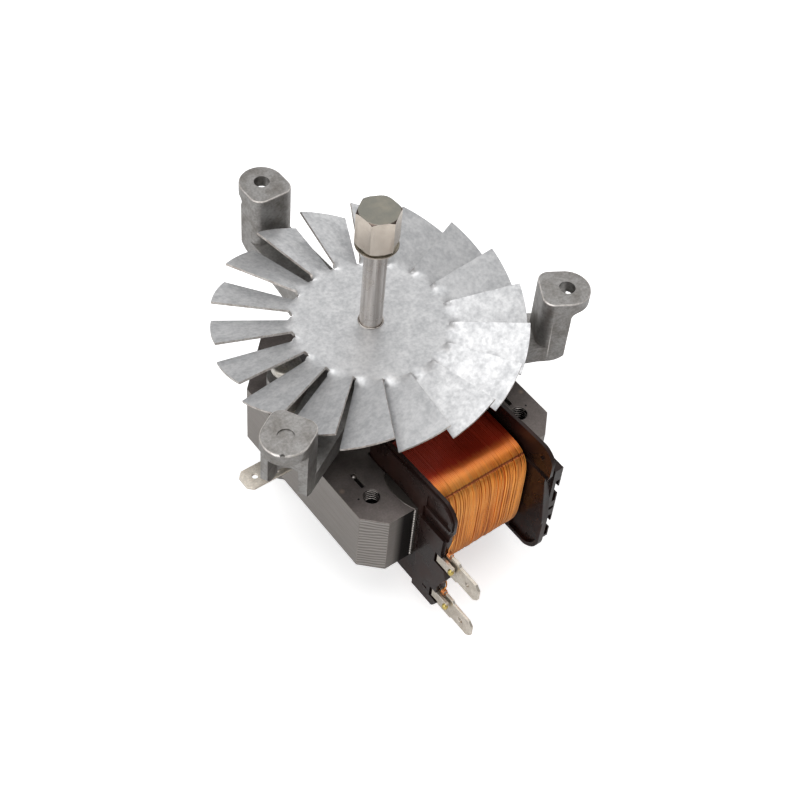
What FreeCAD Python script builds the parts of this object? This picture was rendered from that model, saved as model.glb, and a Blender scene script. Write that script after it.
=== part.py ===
import FreeCAD, Part
import os
import re

import Sketcher

# Oven fan motor: a shaded-pole motor with a C-shaped lamination stack and one coil, a die-cast
# front bracket on three posts, and a sheet-metal cooling fan on the shaft.
# The origin is on the shaft axis in the plane of the post tops. +Z runs up the shaft to the cap
# nut, X lies along the coil, and the coil is on the -Y side. Millimetres and degrees.
os.makedirs("parts", exist_ok=True)
doc = FreeCAD.newDocument("OvenFanMotor")

# Driving sizes. A name that ends in drop is a depth below the plane of the post tops.
SIZES = {
    # Fits
    "press_gap": 0.02,
    "running_gap": 0.04,
    "loose_gap": 0.25,
    "air_gap": 0.35,
    "end_play": 0.2,
    # Lamination stack
    "arm_width": 13.7,
    "stack_height": 20.0,
    "stack_front": 44.0,
    "stack_back": 25.0,
    "stack_drop": 27.85,
    "front_chamfer": 5.3,
    "back_chamfer": 13.5,
    "window_width": 33.6,
    "window_back": 23.2,
    "bore_dia": 30.0,
    "arm_hole_edge": 6.5,
    "arm_hole_y": 34.8,
    "arm_hole_dia": 4.3,
    "lock_length": 4.9,
    "lock_width": 1.1,
    "lock_depth": 0.6,
    "lock_front": 28.9,
    # Core bar through the coil
    "core_seat": 0.6,
    "core_width": 13.0,
    "core_end_radius": 14.0,
    # Shading rings
    "ring_bar": 2.2,
    "ring_inset": 1.2,
    "ring_span": 6.8,
    "ring_angle": 142.0,
    # Shaft and cap nut
    "shaft_dia": 6.0,
    "shaft_chamfer": 0.5,
    "shaft_tail": 2.4,
    "thread_dia": 5.7,
    "nut_top": 29.4,
    "nut_flats": 10.0,
    "nut_height": 10.0,
    "nut_chamfer": 1.0,
    "nut_face_dia": 9.8,
    "nut_collar_dia": 9.7,
    "nut_collar_height": 1.5,
    "nut_clocking": 35.4,
    "nut_roof": 1.6,
    # Cooling fan
    "fan_drop": 9.0,
    "fan_sheet": 0.6,
    "fan_dia": 82.0,
    "slit_dia": 40.4,
    "fan_hole_dia": 6.8,
    "blade_count": 18,
    "blade_gap": 0.42,
    "blade_twist": 23.8,
    "blade_bend": 2.4,
    "blade_clocking": 12.6,
    "notch_dia": 0.9,
    "collar_dia": 10.0,
    "collar_height": 3.0,
    # Rotor
    "bar_count": 13,
    "bar_dia": 2.2,
    "bar_circle": 25.6,
    "end_ring_height": 3.0,
    "end_ring_bore": 15.0,
    "end_ring_rim": 0.5,
    "spacer_dia": 8.4,
    "washer_dia": 9.2,
    "washer_thick": 0.5,
    "clip_dia": 9.6,
    "clip_thick": 0.7,
    "clip_gap": 0.6,
    "clip_groove": 0.5,
    # Bearings and what holds them
    "bearing_sphere": 13.0,
    "bearing_length": 8.0,
    "bearing_offset": 9.95,
    "boss_dia": 21.0,
    "boss_lip": 5.0,
    "boss_floor": 4.6,
    "cavity_dia": 16.4,
    "seat_mouth_dia": 10.2,
    "felt_height": 2.6,
    "retainer_thick": 0.5,
    "retainer_lift": 3.15,
    # Front bracket: hub, arms and lugs
    "hub_dia": 37.0,
    "arm_drop": 15.9,
    "plate_thick": 2.2,
    "arm_inner_width": 14.2,
    "arm_outer_width": 12.5,
    "arm_wall": 2.2,
    "arm_channel_start": 20.0,
    "wall_drop": 23.7,
    "slope_inset": 1.0,
    "slope_run": 16.0,
    "foot_drop": 21.2,
    "foot_radius": 5.0,
    "pad_reach": 20.0,
    "pad_width": 9.0,
    "pad_depth": 5.0,
    "lug_dia": 10.0,
    "lug_root": 12.0,
    # Front bracket: the three posts
    "post_circle": 100.6,
    "post_hole_dia": 4.3,
    "post_mark_depth": 0.4,
    "head_width": 12.4,
    "head_thick": 3.5,
    "head_nose": 6.0,
    "nose_reach": 7.1,
    "cheek_radius": 3.2,
    "gate_mark_dia": 1.1,
    "gate_mark_offset": 1.9,
    "gate_mark_depth": 0.5,
    "leg_drop": 5.8,
    "leg_proud": 0.7,
    "leg_crown": 1.0,
    "leg_width": 12.4,
    "web_thick": 3.0,
    "post_channel": 8.0,
    "blind_drop": 8.6,
    "arch_drop": 17.7,
    # Bracket screws and nuts
    "screw_edge": 6.5,
    "screw_y": 3.0,
    "screw_dia": 4.0,
    "screw_head_dia": 8.0,
    "screw_head": 2.6,
    "screw_tail": 1.2,
    "nut_small_flats": 7.0,
    "nut_small_height": 3.2,
    # Rear bracket
    "rear_gap": 3.9,
    "rear_plate": 3.0,
    "rear_bar_width": 12.0,
    "rear_foot_dia": 11.0,
    # Coil
    "winding_gap": 1.0,
    "coil_build": 5.0,
    "coil_radius": 6.0,
    # Bobbin
    "tube_wall": 1.2,
    "flange_play": 0.2,
    "flange_thick": 1.6,
    "flange_back": 13.6,
    "flange_rise": 20.0,
    "flange_fall": 20.2,
    "flange_corner": 3.0,
    "rim_thick": 0.9,
    "rim_step": 0.9,
    "ear_start": 7.5,
    "ear_shoulder": 21.2,
    "ear_crest": 14.8,
    "ear_top": 21.5,
    "ear_radius": 5.4,
    "ear_front": 19.5,
    "ear_front_rise": 17.4,
    "ear_chin_rise": 13.2,
    "neck_front": 18.6,
    "neck_rise": 10.4,
    "jaw_front": 20.6,
    "jaw_top_fall": 3.4,
    "jaw_fall": 14.0,
    "heel": 15.6,
    "heel_radius": 7.2,
    "slab_back": 10.5,
    "slab_rise": 12.0,
    "slab_fall": 9.1,
    "slab_toe": 16.6,
    "slab_toe_radius": 5.0,
    "slab_proud": 0.5,
    "stud_dia": 1.1,
    "stud_back": 15.7,
    "stud_rise": 17.1,
    "hollow_depth": 0.9,
    "hollow_top": 10.0,
    "hollow_base": 18.9,
    "hollow_rim": 1.1,
    "wire_slot_back": 15.1,
    "wire_slot_front": 16.7,
    "wire_slot_fall": 16.8,
    "wire_slot_height": 1.2,
    "panel_back": 9.5,
    "panel_front": 17.9,
    "panel_rise": 19.0,
    "panel_depth": 0.4,
    "rib_rise": 14.1,
    "rib_height": 1.0,
    "rib_proud": 0.4,
    "lead_way_depth": 0.7,
    "block_proud": 0.6,
    "block_reach": 3.1,
    "block_back": 8.5,
    "block_rise": 9.15,
    "block_top_front": 17.7,
    "block_neck": 17.5,
    "block_neck_rise": 3.3,
    "block_nose": 20.5,
    "block_nose_fall": 4.7,
    "block_under": 19.4,
    "block_under_fall": 6.75,
    "block_recess": 17.9,
    "block_recess_fall": 10.75,
    "block_recess_height": 2.85,
    "block_chin": 19.2,
    "block_chin_fall": 16.4,
    "block_foot": 17.4,
    "block_foot_fall": 19.9,
    "block_fall": 20.6,
    "block_slit": 13.4,
    "block_slit_length": 1.8,
    "block_slit_height": 0.6,
    "block_slit_fall": 16.3,
    "pocket_reach": 2.7,
    "pocket_back": 15.0,
    "pocket_front": 19.6,
    "pocket_rise": 14.5,
    "pocket_fall": 15.05,
    "pocket_wall": 1.15,
    "pocket_skin": 0.4,
    "pocket_depth": 4.0,
    "pocket_slot_rise": 5.35,
    "pocket_slot_length": 8.8,
    "pocket_slot_pitch": 15.0,
    "pocket_notch_height": 3.1,
    "pocket_oval_fall": 1.9,
    "pocket_oval_radius": 0.6,
    "pocket_oval_length": 0.8,
    # Terminals
    "tab_width": 6.3,
    "tab_thick": 0.8,
    "tab_cover": 1.9,
    "tab_neck": 2.2,
    "tab_reach": 8.1,
    "tab_sink": 6.0,
    "tab_step": 0.7,
    "tab_chamfer": 1.4,
    "tab_hole_dia": 1.6,
    "tab_hole_back": 4.3,
    "tab_pitch": 16.6,
    "prong_width": 3.0,
    "prong_thick": 0.9,
    "prong_cover": 0.55,
    "prong_sink": 4.2,
    "prong_reach": 1.7,
    "prong_rise": 0.6,
    "prong_lift": 0.9,
    "prong_room": 0.8,
    "finger_height": 0.9,
    "finger_reach": 2.0,
    "finger_notch": 0.8,
    "finger_gap": 0.5,
    # Earth tab
    "earth_y": 13.85,
    "earth_reach": 17.8,
    "earth_eye_dia": 9.6,
    "earth_slot_back": 8.2,
    "earth_slot_length": 2.2,
    "earth_slot_width": 0.7,
}

# Places and sizes that follow from the driving ones.
PLACES = {
    "stack_top": "-stack_drop",
    "stack_base": "-stack_drop - stack_height",
    "stack_middle": "-stack_drop - stack_height / 2",
    "window_half": "window_width / 2",
    "stack_half": "window_half + arm_width",
    "core_half": "window_half + core_seat",
    "arm_hole_x": "stack_half - arm_hole_edge",
    "screw_x": "stack_half - screw_edge",
    "core_y": "-stack_front + core_width / 2",
    "core_back": "-stack_front + core_width",
    "fan_top": "-fan_drop",
    "fan_base": "-fan_drop - fan_sheet",
    "fan_middle": "-fan_drop - fan_sheet / 2",
    "half_blade": "180 / blade_count - blade_gap / 2",
    "blade_start": "slit_dia / 2 * cos(180 / blade_count)",
    "blade_full": "slit_dia / 2 + blade_bend",
    "root_half": "blade_start * tan(half_blade)",
    "full_half": "blade_full * tan(half_blade)",
    "ring_inner": "bore_dia / 2 + ring_inset",
    "ring_outer": "ring_inner + ring_span",
    "rotor_dia": "bore_dia - 2 * air_gap",
    "front_bearing_z": "stack_top + bearing_offset",
    "rear_bearing_z": "stack_base - bearing_offset",
    "front_bearing_face": "front_bearing_z - bearing_length / 2",
    "rear_bearing_face": "rear_bearing_z + bearing_length / 2",
    "shaft_end": "rear_bearing_z - bearing_length / 2 - shaft_tail",
    "thread_start": "nut_top - nut_height",
    "thread_end": "nut_top - nut_roof - 3 * press_gap",
    "arm_top": "-arm_drop",
    "plate_base": "-arm_drop - plate_thick",
    "post_y": "post_circle / 2",
    "head_inner": "post_y - nose_reach",
    "head_shoulder": "head_inner + cheek_radius",
    "leg_outer": "post_y + leg_proud",
    "web_outer": "head_inner + web_thick",
    "wall_slope_end": "head_inner + slope_inset",
    "wall_slope_start": "wall_slope_end - slope_run",
    "leg_arc": "((leg_width / 2) ^ 2 + leg_crown ^ 2) / (2 * leg_crown)",
    "rear_top": "stack_base - rear_gap",
    "rear_base": "stack_base - rear_gap - rear_plate",
    "tube_half_y": "core_width / 2 + loose_gap + tube_wall",
    "tube_half_z": "stack_height / 2 + loose_gap + tube_wall",
    "flange_half": "window_half - flange_play",
    "coil_half": "flange_half - flange_thick - winding_gap",
    "block_outer": "flange_half + block_proud",
    "block_front": "block_nose - core_y",
    "tab_plane": "block_outer - tab_cover",
    "tab_root": "block_front - tab_sink",
    "tab_shoulder": "block_front + tab_neck",
    "tab_tip": "tab_shoulder + tab_reach",
    "prong_plane": "block_outer - prong_cover",
    "prong_root": "block_front - prong_sink",
    "finger_root": "block_neck - core_y + press_gap",
    "finger_tip": "finger_root + finger_reach",
    "earth_tip": "stack_half + earth_reach",
    "earth_slot": "earth_tip - earth_slot_back",
    "upper_tab_z": "stack_middle",
    "lower_tab_z": "stack_middle - tab_pitch",
    "upper_prong_z": "upper_tab_z + prong_rise",
    "lower_prong_z": "lower_tab_z + prong_rise + prong_lift",
    "screw_hole_dia": "screw_dia + 2 * loose_gap",
}

sheet = doc.addObject("Spreadsheet::Sheet", "sizes")
for row, (size_name, size_value) in enumerate(SIZES.items(), start=1):
    sheet.set("A%d" % row, size_name)
    sheet.set("B%d" % row, str(size_value))
    sheet.setAlias("B%d" % row, size_name)
doc.recompute()


def cell(text):
    """Turn the names of sizes and places in a text into an expression on the sheet."""

    def swap(found):
        name = found.group(0)
        if name in SIZES:
            return "sizes." + name
        if name in PLACES:
            return "(" + cell(PLACES[name]) + ")"
        return name

    return re.sub(r"[a-z][a-z_]*", swap, text)


def number(text):
    """The present value of a text of sizes and places."""
    return float(sheet.evalExpression(cell(text)))


def bind(item, prop, text):
    item.setExpression(prop, cell(text))


def new_body(label):
    body = doc.addObject("PartDesign::Body", label)
    body.Label = label
    return body


def origin_part(body, role):
    return [part for part in body.Origin.OriginFeatures if part.Role == role][0]


def sketch_on(body, name, role, lift="0"):
    """Sketch on an origin plane of its body, lifted along the plane's normal.

    XY looks down Z, XZ has its normal along -Y, and YZ has its normal along +X.
    """
    made = body.newObject("Sketcher::SketchObject", name)
    made.AttachmentSupport = [(origin_part(body, role), "")]
    made.MapMode = "FlatFace"
    bind(made, "AttachmentOffset.Base.z", lift)
    return made


def pin_distance(made, kind, geometry, point, text):
    made.addConstraint(Sketcher.Constraint(kind, -1, 1, geometry, point, number(text)))
    made.setExpression("Constraints[%d]" % (made.ConstraintCount - 1), cell(text))


def outline(made, corners):
    """Closed outline through (x, y) corners, each one tied to the sheet.

    A third entry is the radius of the arc that leads to the next corner: it bulges to the right
    of the way forward, or to the left where a minus sign leads.
    """
    first = made.GeometryCount
    count = len(corners)
    points = [FreeCAD.Vector(number(corner[0]), number(corner[1]), 0) for corner in corners]
    ends = []
    for i, corner in enumerate(corners):
        start, end = points[i], points[(i + 1) % count]
        if len(corner) == 2:
            made.addGeometry(Part.LineSegment(start, end), False)
        else:
            chord = end - start
            side = FreeCAD.Vector(chord.y, -chord.x, 0).normalize()
            if corner[2].startswith("-"):
                side = side * -1
            radius = number(corner[2].lstrip("-"))
            rise = radius - (radius ** 2 - chord.Length ** 2 / 4) ** 0.5
            made.addGeometry(Part.Arc(start, (start + end) * 0.5 + side * rise, end), False)
        first_end = made.getPoint(first + i, 1)
        forward = (first_end - start).Length < (first_end - end).Length
        ends.append((1, 2) if forward else (2, 1))
    for i, corner in enumerate(corners):
        follower = (i + 1) % count
        made.addConstraint(Sketcher.Constraint(
            "Coincident", first + i, ends[i][1], first + follower, ends[follower][0]))
        pin_distance(made, "DistanceX", first + i, ends[i][0], corner[0])
        pin_distance(made, "DistanceY", first + i, ends[i][0], corner[1])
        if len(corner) == 3:
            radius = corner[2].lstrip("-")
            made.addConstraint(Sketcher.Constraint("Radius", first + i, number(radius)))
            made.setExpression("Constraints[%d]" % (made.ConstraintCount - 1), cell(radius))


def circle(made, x, y, diameter):
    centre = FreeCAD.Vector(number(x), number(y), 0)
    normal = FreeCAD.Vector(0, 0, 1)
    index = made.addGeometry(Part.Circle(centre, normal, number(diameter) / 2), False)
    pin_distance(made, "DistanceX", index, 3, x)
    pin_distance(made, "DistanceY", index, 3, y)
    made.addConstraint(Sketcher.Constraint("Diameter", index, number(diameter)))
    made.setExpression("Constraints[%d]" % (made.ConstraintCount - 1), cell(diameter))


def rectangle(made, low_x, low_y, high_x, high_y):
    outline(made, [(low_x, low_y), (high_x, low_y), (high_x, high_y), (low_x, high_y)])


def pad(body, name, made, length, reverse=False):
    feature = body.newObject("PartDesign::Pad", name)
    feature.Profile = made
    feature.Reversed = reverse
    bind(feature, "Length", length)
    return feature


def pocket(body, name, made, length, reverse=False):
    feature = body.newObject("PartDesign::Pocket", name)
    feature.Profile = made
    feature.Reversed = reverse
    bind(feature, "Length", length)
    return feature


def turned(body, name, corners, cut=False):
    """Revolve an outline of (radius, height) corners about Z, or cut with it."""
    made = sketch_on(body, name + "_profile", "XZ_Plane")
    outline(made, corners)
    kind = "PartDesign::Groove" if cut else "PartDesign::Revolution"
    feature = body.newObject(kind, name)
    feature.Profile = made
    feature.ReferenceAxis = (made, ["V_Axis"])
    feature.Angle = 360
    return feature


def polar(body, name, features, count, angle="360"):
    feature = body.newObject("PartDesign::PolarPattern", name)
    feature.Originals = features
    feature.Axis = (origin_part(body, "Z_Axis"), [""])
    bind(feature, "Angle", angle)
    bind(feature, "Occurrences", count)
    body.Tip = feature
    return feature


# Lamination stack: a C of stamped steel sheets, round the rotor and down both sides of the coil.
stack = new_body("stator_stack")
plan = sketch_on(stack, "stack_plan", "XY_Plane", "stack_base")
outline(plan, [
    ("core_half", "-stack_front"),
    ("stack_half - front_chamfer", "-stack_front"),
    ("stack_half", "-stack_front + front_chamfer"),
    ("stack_half", "stack_back - back_chamfer"),
    ("stack_half - back_chamfer", "stack_back"),
    ("-stack_half + back_chamfer", "stack_back"),
    ("-stack_half", "stack_back - back_chamfer"),
    ("-stack_half", "-stack_front + front_chamfer"),
    ("-stack_half + front_chamfer", "-stack_front"),
    ("-core_half", "-stack_front", "-core_end_radius"),
    ("-core_half", "core_back"),
    ("-window_half", "core_back"),
    ("-window_half", "-window_back"),
    ("window_half", "-window_back"),
    ("window_half", "core_back"),
    ("core_half", "core_back", "-core_end_radius"),
])
circle(plan, "0", "0", "bore_dia")
for side in ("-", ""):
    circle(plan, side + "arm_hole_x", "-arm_hole_y", "arm_hole_dia")
    circle(plan, side + "screw_x", "screw_y", "screw_hole_dia")
pad(stack, "sheets", plan, "stack_height")
marks = sketch_on(stack, "interlock_plan", "XY_Plane", "stack_top")
for side in ("-", ""):
    rectangle(marks, side + "arm_hole_x - lock_width / 2", "-lock_front - lock_length / 2",
              side + "arm_hole_x + lock_width / 2", "-lock_front + lock_length / 2")
pocket(stack, "interlocks", marks, "lock_depth")
slots = sketch_on(stack, "ring_slot_plan", "XY_Plane", "stack_top")
rectangle(slots, "ring_inner - 2 * ring_bar", "-ring_bar / 2 - press_gap",
          "ring_inner + ring_bar / 2 + press_gap", "ring_bar / 2 + press_gap")
rectangle(slots, "ring_outer - ring_bar / 2 - press_gap", "-ring_bar / 2 - press_gap",
          "ring_outer + ring_bar / 2 + press_gap", "ring_bar / 2 + press_gap")
bind(slots, "AttachmentOffset.Rotation.Angle", "ring_angle")
ring_slots = pocket(stack, "ring_slots", slots, "stack_height")
polar(stack, "ring_slot_pair", [ring_slots], "2")

# Core bar: the pole piece that carries the coil, with rounded ends let into the stack's arms.
core = new_body("coil_core")
plan = sketch_on(core, "core_plan", "XY_Plane", "stack_base")
outline(plan, [
    ("core_half - press_gap", "-stack_front", "core_end_radius"),
    ("core_half - press_gap", "core_back - press_gap"),
    ("-core_half + press_gap", "core_back - press_gap", "core_end_radius"),
    ("-core_half + press_gap", "-stack_front"),
])
pad(core, "core_sheets", plan, "stack_height")

# Shading rings: closed copper loops through the slots of both poles.
for label, turn in (("shading_ring_left", "ring_angle"), ("shading_ring_right", "ring_angle - 180")):
    ring = new_body(label)
    side_view = sketch_on(ring, label + "_profile", "XZ_Plane", "-ring_bar / 2")
    rectangle(side_view, "ring_inner - ring_bar / 2", "stack_base - ring_bar",
              "ring_outer + ring_bar / 2", "stack_top + ring_bar")
    rectangle(side_view, "ring_inner + ring_bar / 2", "stack_base - press_gap",
              "ring_outer - ring_bar / 2", "stack_top + press_gap")
    pad(ring, label + "_bar", side_view, "ring_bar")
    bind(ring, "Placement.Rotation.Angle", turn)

# Shaft: ground steel, threaded at the top for the cap nut and grooved at the tail for its clip.
shaft = new_body("shaft")
turned(shaft, "shaft_bar", [
    ("0", "shaft_end"),
    ("shaft_dia / 2 - shaft_chamfer", "shaft_end"),
    ("shaft_dia / 2", "shaft_end + shaft_chamfer"),
    ("shaft_dia / 2", "thread_start"),
    ("thread_dia / 2", "thread_start"),
    ("thread_dia / 2", "thread_end - shaft_chamfer"),
    ("thread_dia / 2 - shaft_chamfer", "thread_end"),
    ("0", "thread_end"),
])
clip_top = "rear_bearing_z - bearing_length / 2 - clip_gap"
turned(shaft, "clip_groove_cut", [
    ("shaft_dia / 2 - clip_groove", clip_top + " - clip_thick - press_gap"),
    ("shaft_dia", clip_top + " - clip_thick - press_gap"),
    ("shaft_dia", clip_top + " + press_gap"),
    ("shaft_dia / 2 - clip_groove", clip_top + " + press_gap"),
], cut=True)

# Tail clip: a spring washer in the shaft's groove, slit on one side.
clip = new_body("shaft_clip")
turned(clip, "clip_ring", [
    ("shaft_dia / 2 - clip_groove + press_gap", clip_top + " - clip_thick"),
    ("clip_dia / 2", clip_top + " - clip_thick"),
    ("clip_dia / 2", clip_top),
    ("shaft_dia / 2 - clip_groove + press_gap", clip_top),
])
mouth = sketch_on(clip, "clip_mouth_plan", "XY_Plane", clip_top)
rectangle(mouth, "0", "-shaft_dia / 4", "clip_dia", "shaft_dia / 4")
pocket(clip, "clip_mouth", mouth, "clip_thick")

# Cap nut: a closed hexagon, chamfered at both ends, on a round collar.
nut = new_body("cap_nut")
hexagon = sketch_on(nut, "nut_plan", "XY_Plane", "nut_top - nut_height")
nut_corner = "nut_flats / sqrt(3)"
outline(hexagon, [(nut_corner + " * cos(%d)" % turn, nut_corner + " * sin(%d)" % turn)
                  for turn in range(0, 360, 60)])
pad(nut, "nut_hexagon", hexagon, "nut_height")
turned(nut, "nut_top_chamfer", [
    ("nut_face_dia / 2", "nut_top"),
    ("nut_flats", "nut_top"),
    ("nut_flats", "nut_top - nut_chamfer"),
    (nut_corner, "nut_top - nut_chamfer"),
], cut=True)
turned(nut, "nut_base_chamfer", [
    ("nut_face_dia / 2", "nut_top - nut_height"),
    (nut_corner, "nut_top - nut_height + nut_chamfer / 2"),
    ("nut_flats", "nut_top - nut_height + nut_chamfer / 2"),
    ("nut_flats", "nut_top - nut_height"),
], cut=True)
turned(nut, "nut_collar", [
    ("shaft_dia / 2 + running_gap", "nut_top - nut_height - nut_collar_height"),
    ("nut_collar_dia / 2 - nut_chamfer / 2", "nut_top - nut_height - nut_collar_height"),
    ("nut_collar_dia / 2", "nut_top - nut_height - nut_collar_height / 2"),
    ("nut_collar_dia / 2", "nut_top - nut_height"),
    ("shaft_dia / 2 + running_gap", "nut_top - nut_height"),
])
turned(nut, "nut_thread_bore", [
    ("0", "nut_top - nut_height - nut_collar_height"),
    ("thread_dia / 2 + press_gap", "nut_top - nut_height - nut_collar_height"),
    ("thread_dia / 2 + press_gap", "nut_top - nut_roof"),
    ("0", "nut_top - nut_roof"),
], cut=True)
bind(nut, "Placement.Rotation.Angle", "nut_clocking")

# Cooling fan: one sheet disc, slit into blades that are each twisted about their own centre line.
fan = new_body("cooling_fan")
disc = sketch_on(fan, "disc_plan", "XY_Plane", "fan_base")
outline(disc, [("slit_dia / 2 * cos((%d + 0.5) * 360 / blade_count)" % i,
                "slit_dia / 2 * sin((%d + 0.5) * 360 / blade_count)" % i)
               for i in range(SIZES["blade_count"])])
circle(disc, "0", "0", "fan_hole_dia")
pad(fan, "disc", disc, "fan_sheet")


def blade_section(name, lift, half, twist):
    """The sheet's section across a blade, turned by a twist about the blade's centre line."""
    made = sketch_on(fan, name, "YZ_Plane", lift)
    corners = []
    for across, up in (("-", "-"), ("", "-"), ("", ""), ("-", "")):
        wide = "(%s%s)" % (across, half)
        high = "(%sfan_sheet / 2)" % up
        corners.append(("%s * cos(%s) - %s * sin(%s)" % (wide, twist, high, twist),
                        "fan_middle + %s * sin(%s) + %s * cos(%s)" % (wide, twist, high, twist)))
    outline(made, corners)
    return made


bend = fan.newObject("PartDesign::AdditiveLoft", "blade_root")
bend.Profile = blade_section("root_section", "blade_start", "root_half", "0")
bend.Sections = [blade_section("full_section", "blade_full", "full_half", "blade_twist")]
bend.Ruled = True
fan.Tip = bend
face = sketch_on(fan, "blade_plan", "XY_Plane")
face.AttachmentOffset = FreeCAD.Placement(
    FreeCAD.Vector(0, 0, 0), FreeCAD.Rotation(FreeCAD.Vector(1, 0, 0), number("blade_twist")))
bind(face, "AttachmentOffset.Rotation.Angle", "blade_twist")
bind(face, "AttachmentOffset.Base.y", "fan_sheet / 2 * sin(blade_twist)")
bind(face, "AttachmentOffset.Base.z", "fan_middle - fan_sheet / 2 * cos(blade_twist)")
outline(face, [
    ("blade_full", "-full_half"),
    ("fan_dia / 2 * cos(half_blade)", "-fan_dia / 2 * sin(half_blade)", "fan_dia / 2"),
    ("fan_dia / 2 * cos(half_blade)", "fan_dia / 2 * sin(half_blade)"),
    ("blade_full", "full_half"),
])
blade = pad(fan, "blade", face, "fan_sheet")
polar(fan, "blades", [bend, blade], "blade_count")
notch_plan = sketch_on(fan, "notch_plan", "XY_Plane", "fan_top")
circle(notch_plan, "slit_dia / 2 * cos(180 / blade_count)", "slit_dia / 2 * sin(180 / blade_count)",
       "notch_dia")
notch = pocket(fan, "slit_notch", notch_plan, "fan_sheet")
polar(fan, "slit_notches", [notch], "blade_count")
bind(fan, "Placement.Rotation.Angle", "blade_clocking")

# Fan collar: the turned bush under the disc that presses on the shaft.
collar = new_body("fan_collar")
turned(collar, "collar_bush", [
    ("shaft_dia / 2 + press_gap", "fan_base - collar_height"),
    ("collar_dia / 2", "fan_base - collar_height"),
    ("collar_dia / 2", "fan_base"),
    ("fan_hole_dia / 2 - press_gap", "fan_base"),
    ("fan_hole_dia / 2 - press_gap", "fan_middle"),
    ("shaft_dia / 2 + press_gap", "fan_middle"),
])

# Rotor: a lamination drum with an aluminium cage cast through its slots.
rotor = new_body("rotor_core")
plan = sketch_on(rotor, "rotor_plan", "XY_Plane", "stack_base")
circle(plan, "0", "0", "rotor_dia")
circle(plan, "0", "0", "shaft_dia + 2 * press_gap")
pad(rotor, "drum", plan, "stack_height")
slot = sketch_on(rotor, "bar_slot_plan", "XY_Plane", "stack_top")
circle(slot, "bar_circle / 2", "0", "bar_dia + 2 * press_gap")
polar(rotor, "bar_slots", [pocket(rotor, "bar_slot", slot, "stack_height")], "bar_count")

cage = new_body("rotor_cage")


def end_ring(name, low):
    high = low + " + end_ring_height"
    turned(cage, name, [
        ("end_ring_bore / 2", low), ("rotor_dia / 2 - end_ring_rim", low),
        ("rotor_dia / 2 - end_ring_rim", high), ("end_ring_bore / 2", high)])


end_ring("lower_end_ring", "stack_base - end_ring_height")
bar = sketch_on(cage, "bar_plan", "XY_Plane", "stack_base - end_ring_height / 2")
circle(bar, "bar_circle / 2", "0", "bar_dia")
polar(cage, "bars", [pad(cage, "bar", bar, "stack_height + end_ring_height")], "bar_count")
end_ring("upper_end_ring", "stack_top")

# Spacers and thrust washers between the rotor and its bearings.
for label, low, high in (
        ("front_spacer", "stack_top", "front_bearing_face - end_play - washer_thick"),
        ("rear_spacer", "rear_bearing_face + end_play + washer_thick", "stack_base")):
    tube = new_body(label)
    turned(tube, label + "_tube", [
        ("shaft_dia / 2 + press_gap", low), ("spacer_dia / 2", low),
        ("spacer_dia / 2", high), ("shaft_dia / 2 + press_gap", high)])
for label, low in (("front_thrust_washer", "front_bearing_face - end_play - washer_thick"),
                   ("rear_thrust_washer", "rear_bearing_face + end_play")):
    disc_body = new_body(label)
    turned(disc_body, label + "_disc", [
        ("shaft_dia / 2 + running_gap", low), ("washer_dia / 2", low),
        ("washer_dia / 2", low + " + washer_thick"),
        ("shaft_dia / 2 + running_gap", low + " + washer_thick")])


def at(centre, sign, height):
    """A height above a bearing's centre, counted away from the rotor."""
    return "%s %s (%s)" % (centre, sign, height)


def bearing_set(end, centre, sign):
    """The self-aligning bronze bush, the oiled felt round it and the spring cap that holds it."""
    ball = "bearing_sphere / 2"
    cut = "sqrt((%s) ^ 2 - (bearing_length / 2) ^ 2)" % ball
    bush = new_body(end + "_bearing")
    bulge = ball if sign == "+" else "-" + ball
    turned(bush, end + "_bush", [
        ("shaft_dia / 2 + running_gap", at(centre, sign, "-bearing_length / 2")),
        (cut, at(centre, sign, "-bearing_length / 2"), bulge),
        (cut, at(centre, sign, "bearing_length / 2")),
        ("shaft_dia / 2 + running_gap", at(centre, sign, "bearing_length / 2"))])
    felt = new_body(end + "_felt")
    turned(felt, end + "_felt_ring", [
        (ball + " + 2 * running_gap", at(centre, sign, "press_gap")),
        ("cavity_dia / 2 - running_gap", at(centre, sign, "press_gap")),
        ("cavity_dia / 2 - running_gap", at(centre, sign, "felt_height")),
        (ball + " + 2 * running_gap", at(centre, sign, "felt_height"))])
    reach = "sqrt((%s) ^ 2 - retainer_lift ^ 2) + running_gap" % ball
    cap = new_body(end + "_retainer")
    turned(cap, end + "_cap", [
        (reach, at(centre, sign, "retainer_lift")),
        ("cavity_dia / 2 - press_gap", at(centre, sign, "retainer_lift - retainer_thick")),
        ("cavity_dia / 2 - press_gap", at(centre, sign, "retainer_lift")),
        (reach, at(centre, sign, "retainer_lift + retainer_thick"))])


def bearing_boss(body, end, centre, sign):
    """The bracket's boss: a round wall with a felt cavity and a spherical seat for the bush."""
    turned(body, end + "_boss", [
        ("0", at(centre, sign, "-boss_floor")),
        ("boss_dia / 2", at(centre, sign, "-boss_floor")),
        ("boss_dia / 2", at(centre, sign, "boss_lip")),
        ("0", at(centre, sign, "boss_lip"))])


def bearing_seat(body, end, centre, sign):
    ball = "bearing_sphere / 2 + press_gap"
    depth = "sqrt((%s) ^ 2 - (seat_mouth_dia / 2) ^ 2)" % ball
    bulge = "bearing_sphere / 2 + press_gap"
    turned(body, end + "_seat", [
        ("0", at(centre, sign, "-boss_floor")),
        ("seat_mouth_dia / 2", at(centre, sign, "-boss_floor")),
        ("seat_mouth_dia / 2", at(centre, sign, "-" + depth), bulge if sign == "+" else "-" + bulge),
        (ball, at(centre, sign, "0")),
        ("cavity_dia / 2", at(centre, sign, "0")),
        ("cavity_dia / 2", at(centre, sign, "boss_lip")),
        ("0", at(centre, sign, "boss_lip"))], cut=True)


bearing_set("front", "front_bearing_z", "+")
bearing_set("rear", "rear_bearing_z", "-")

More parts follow.
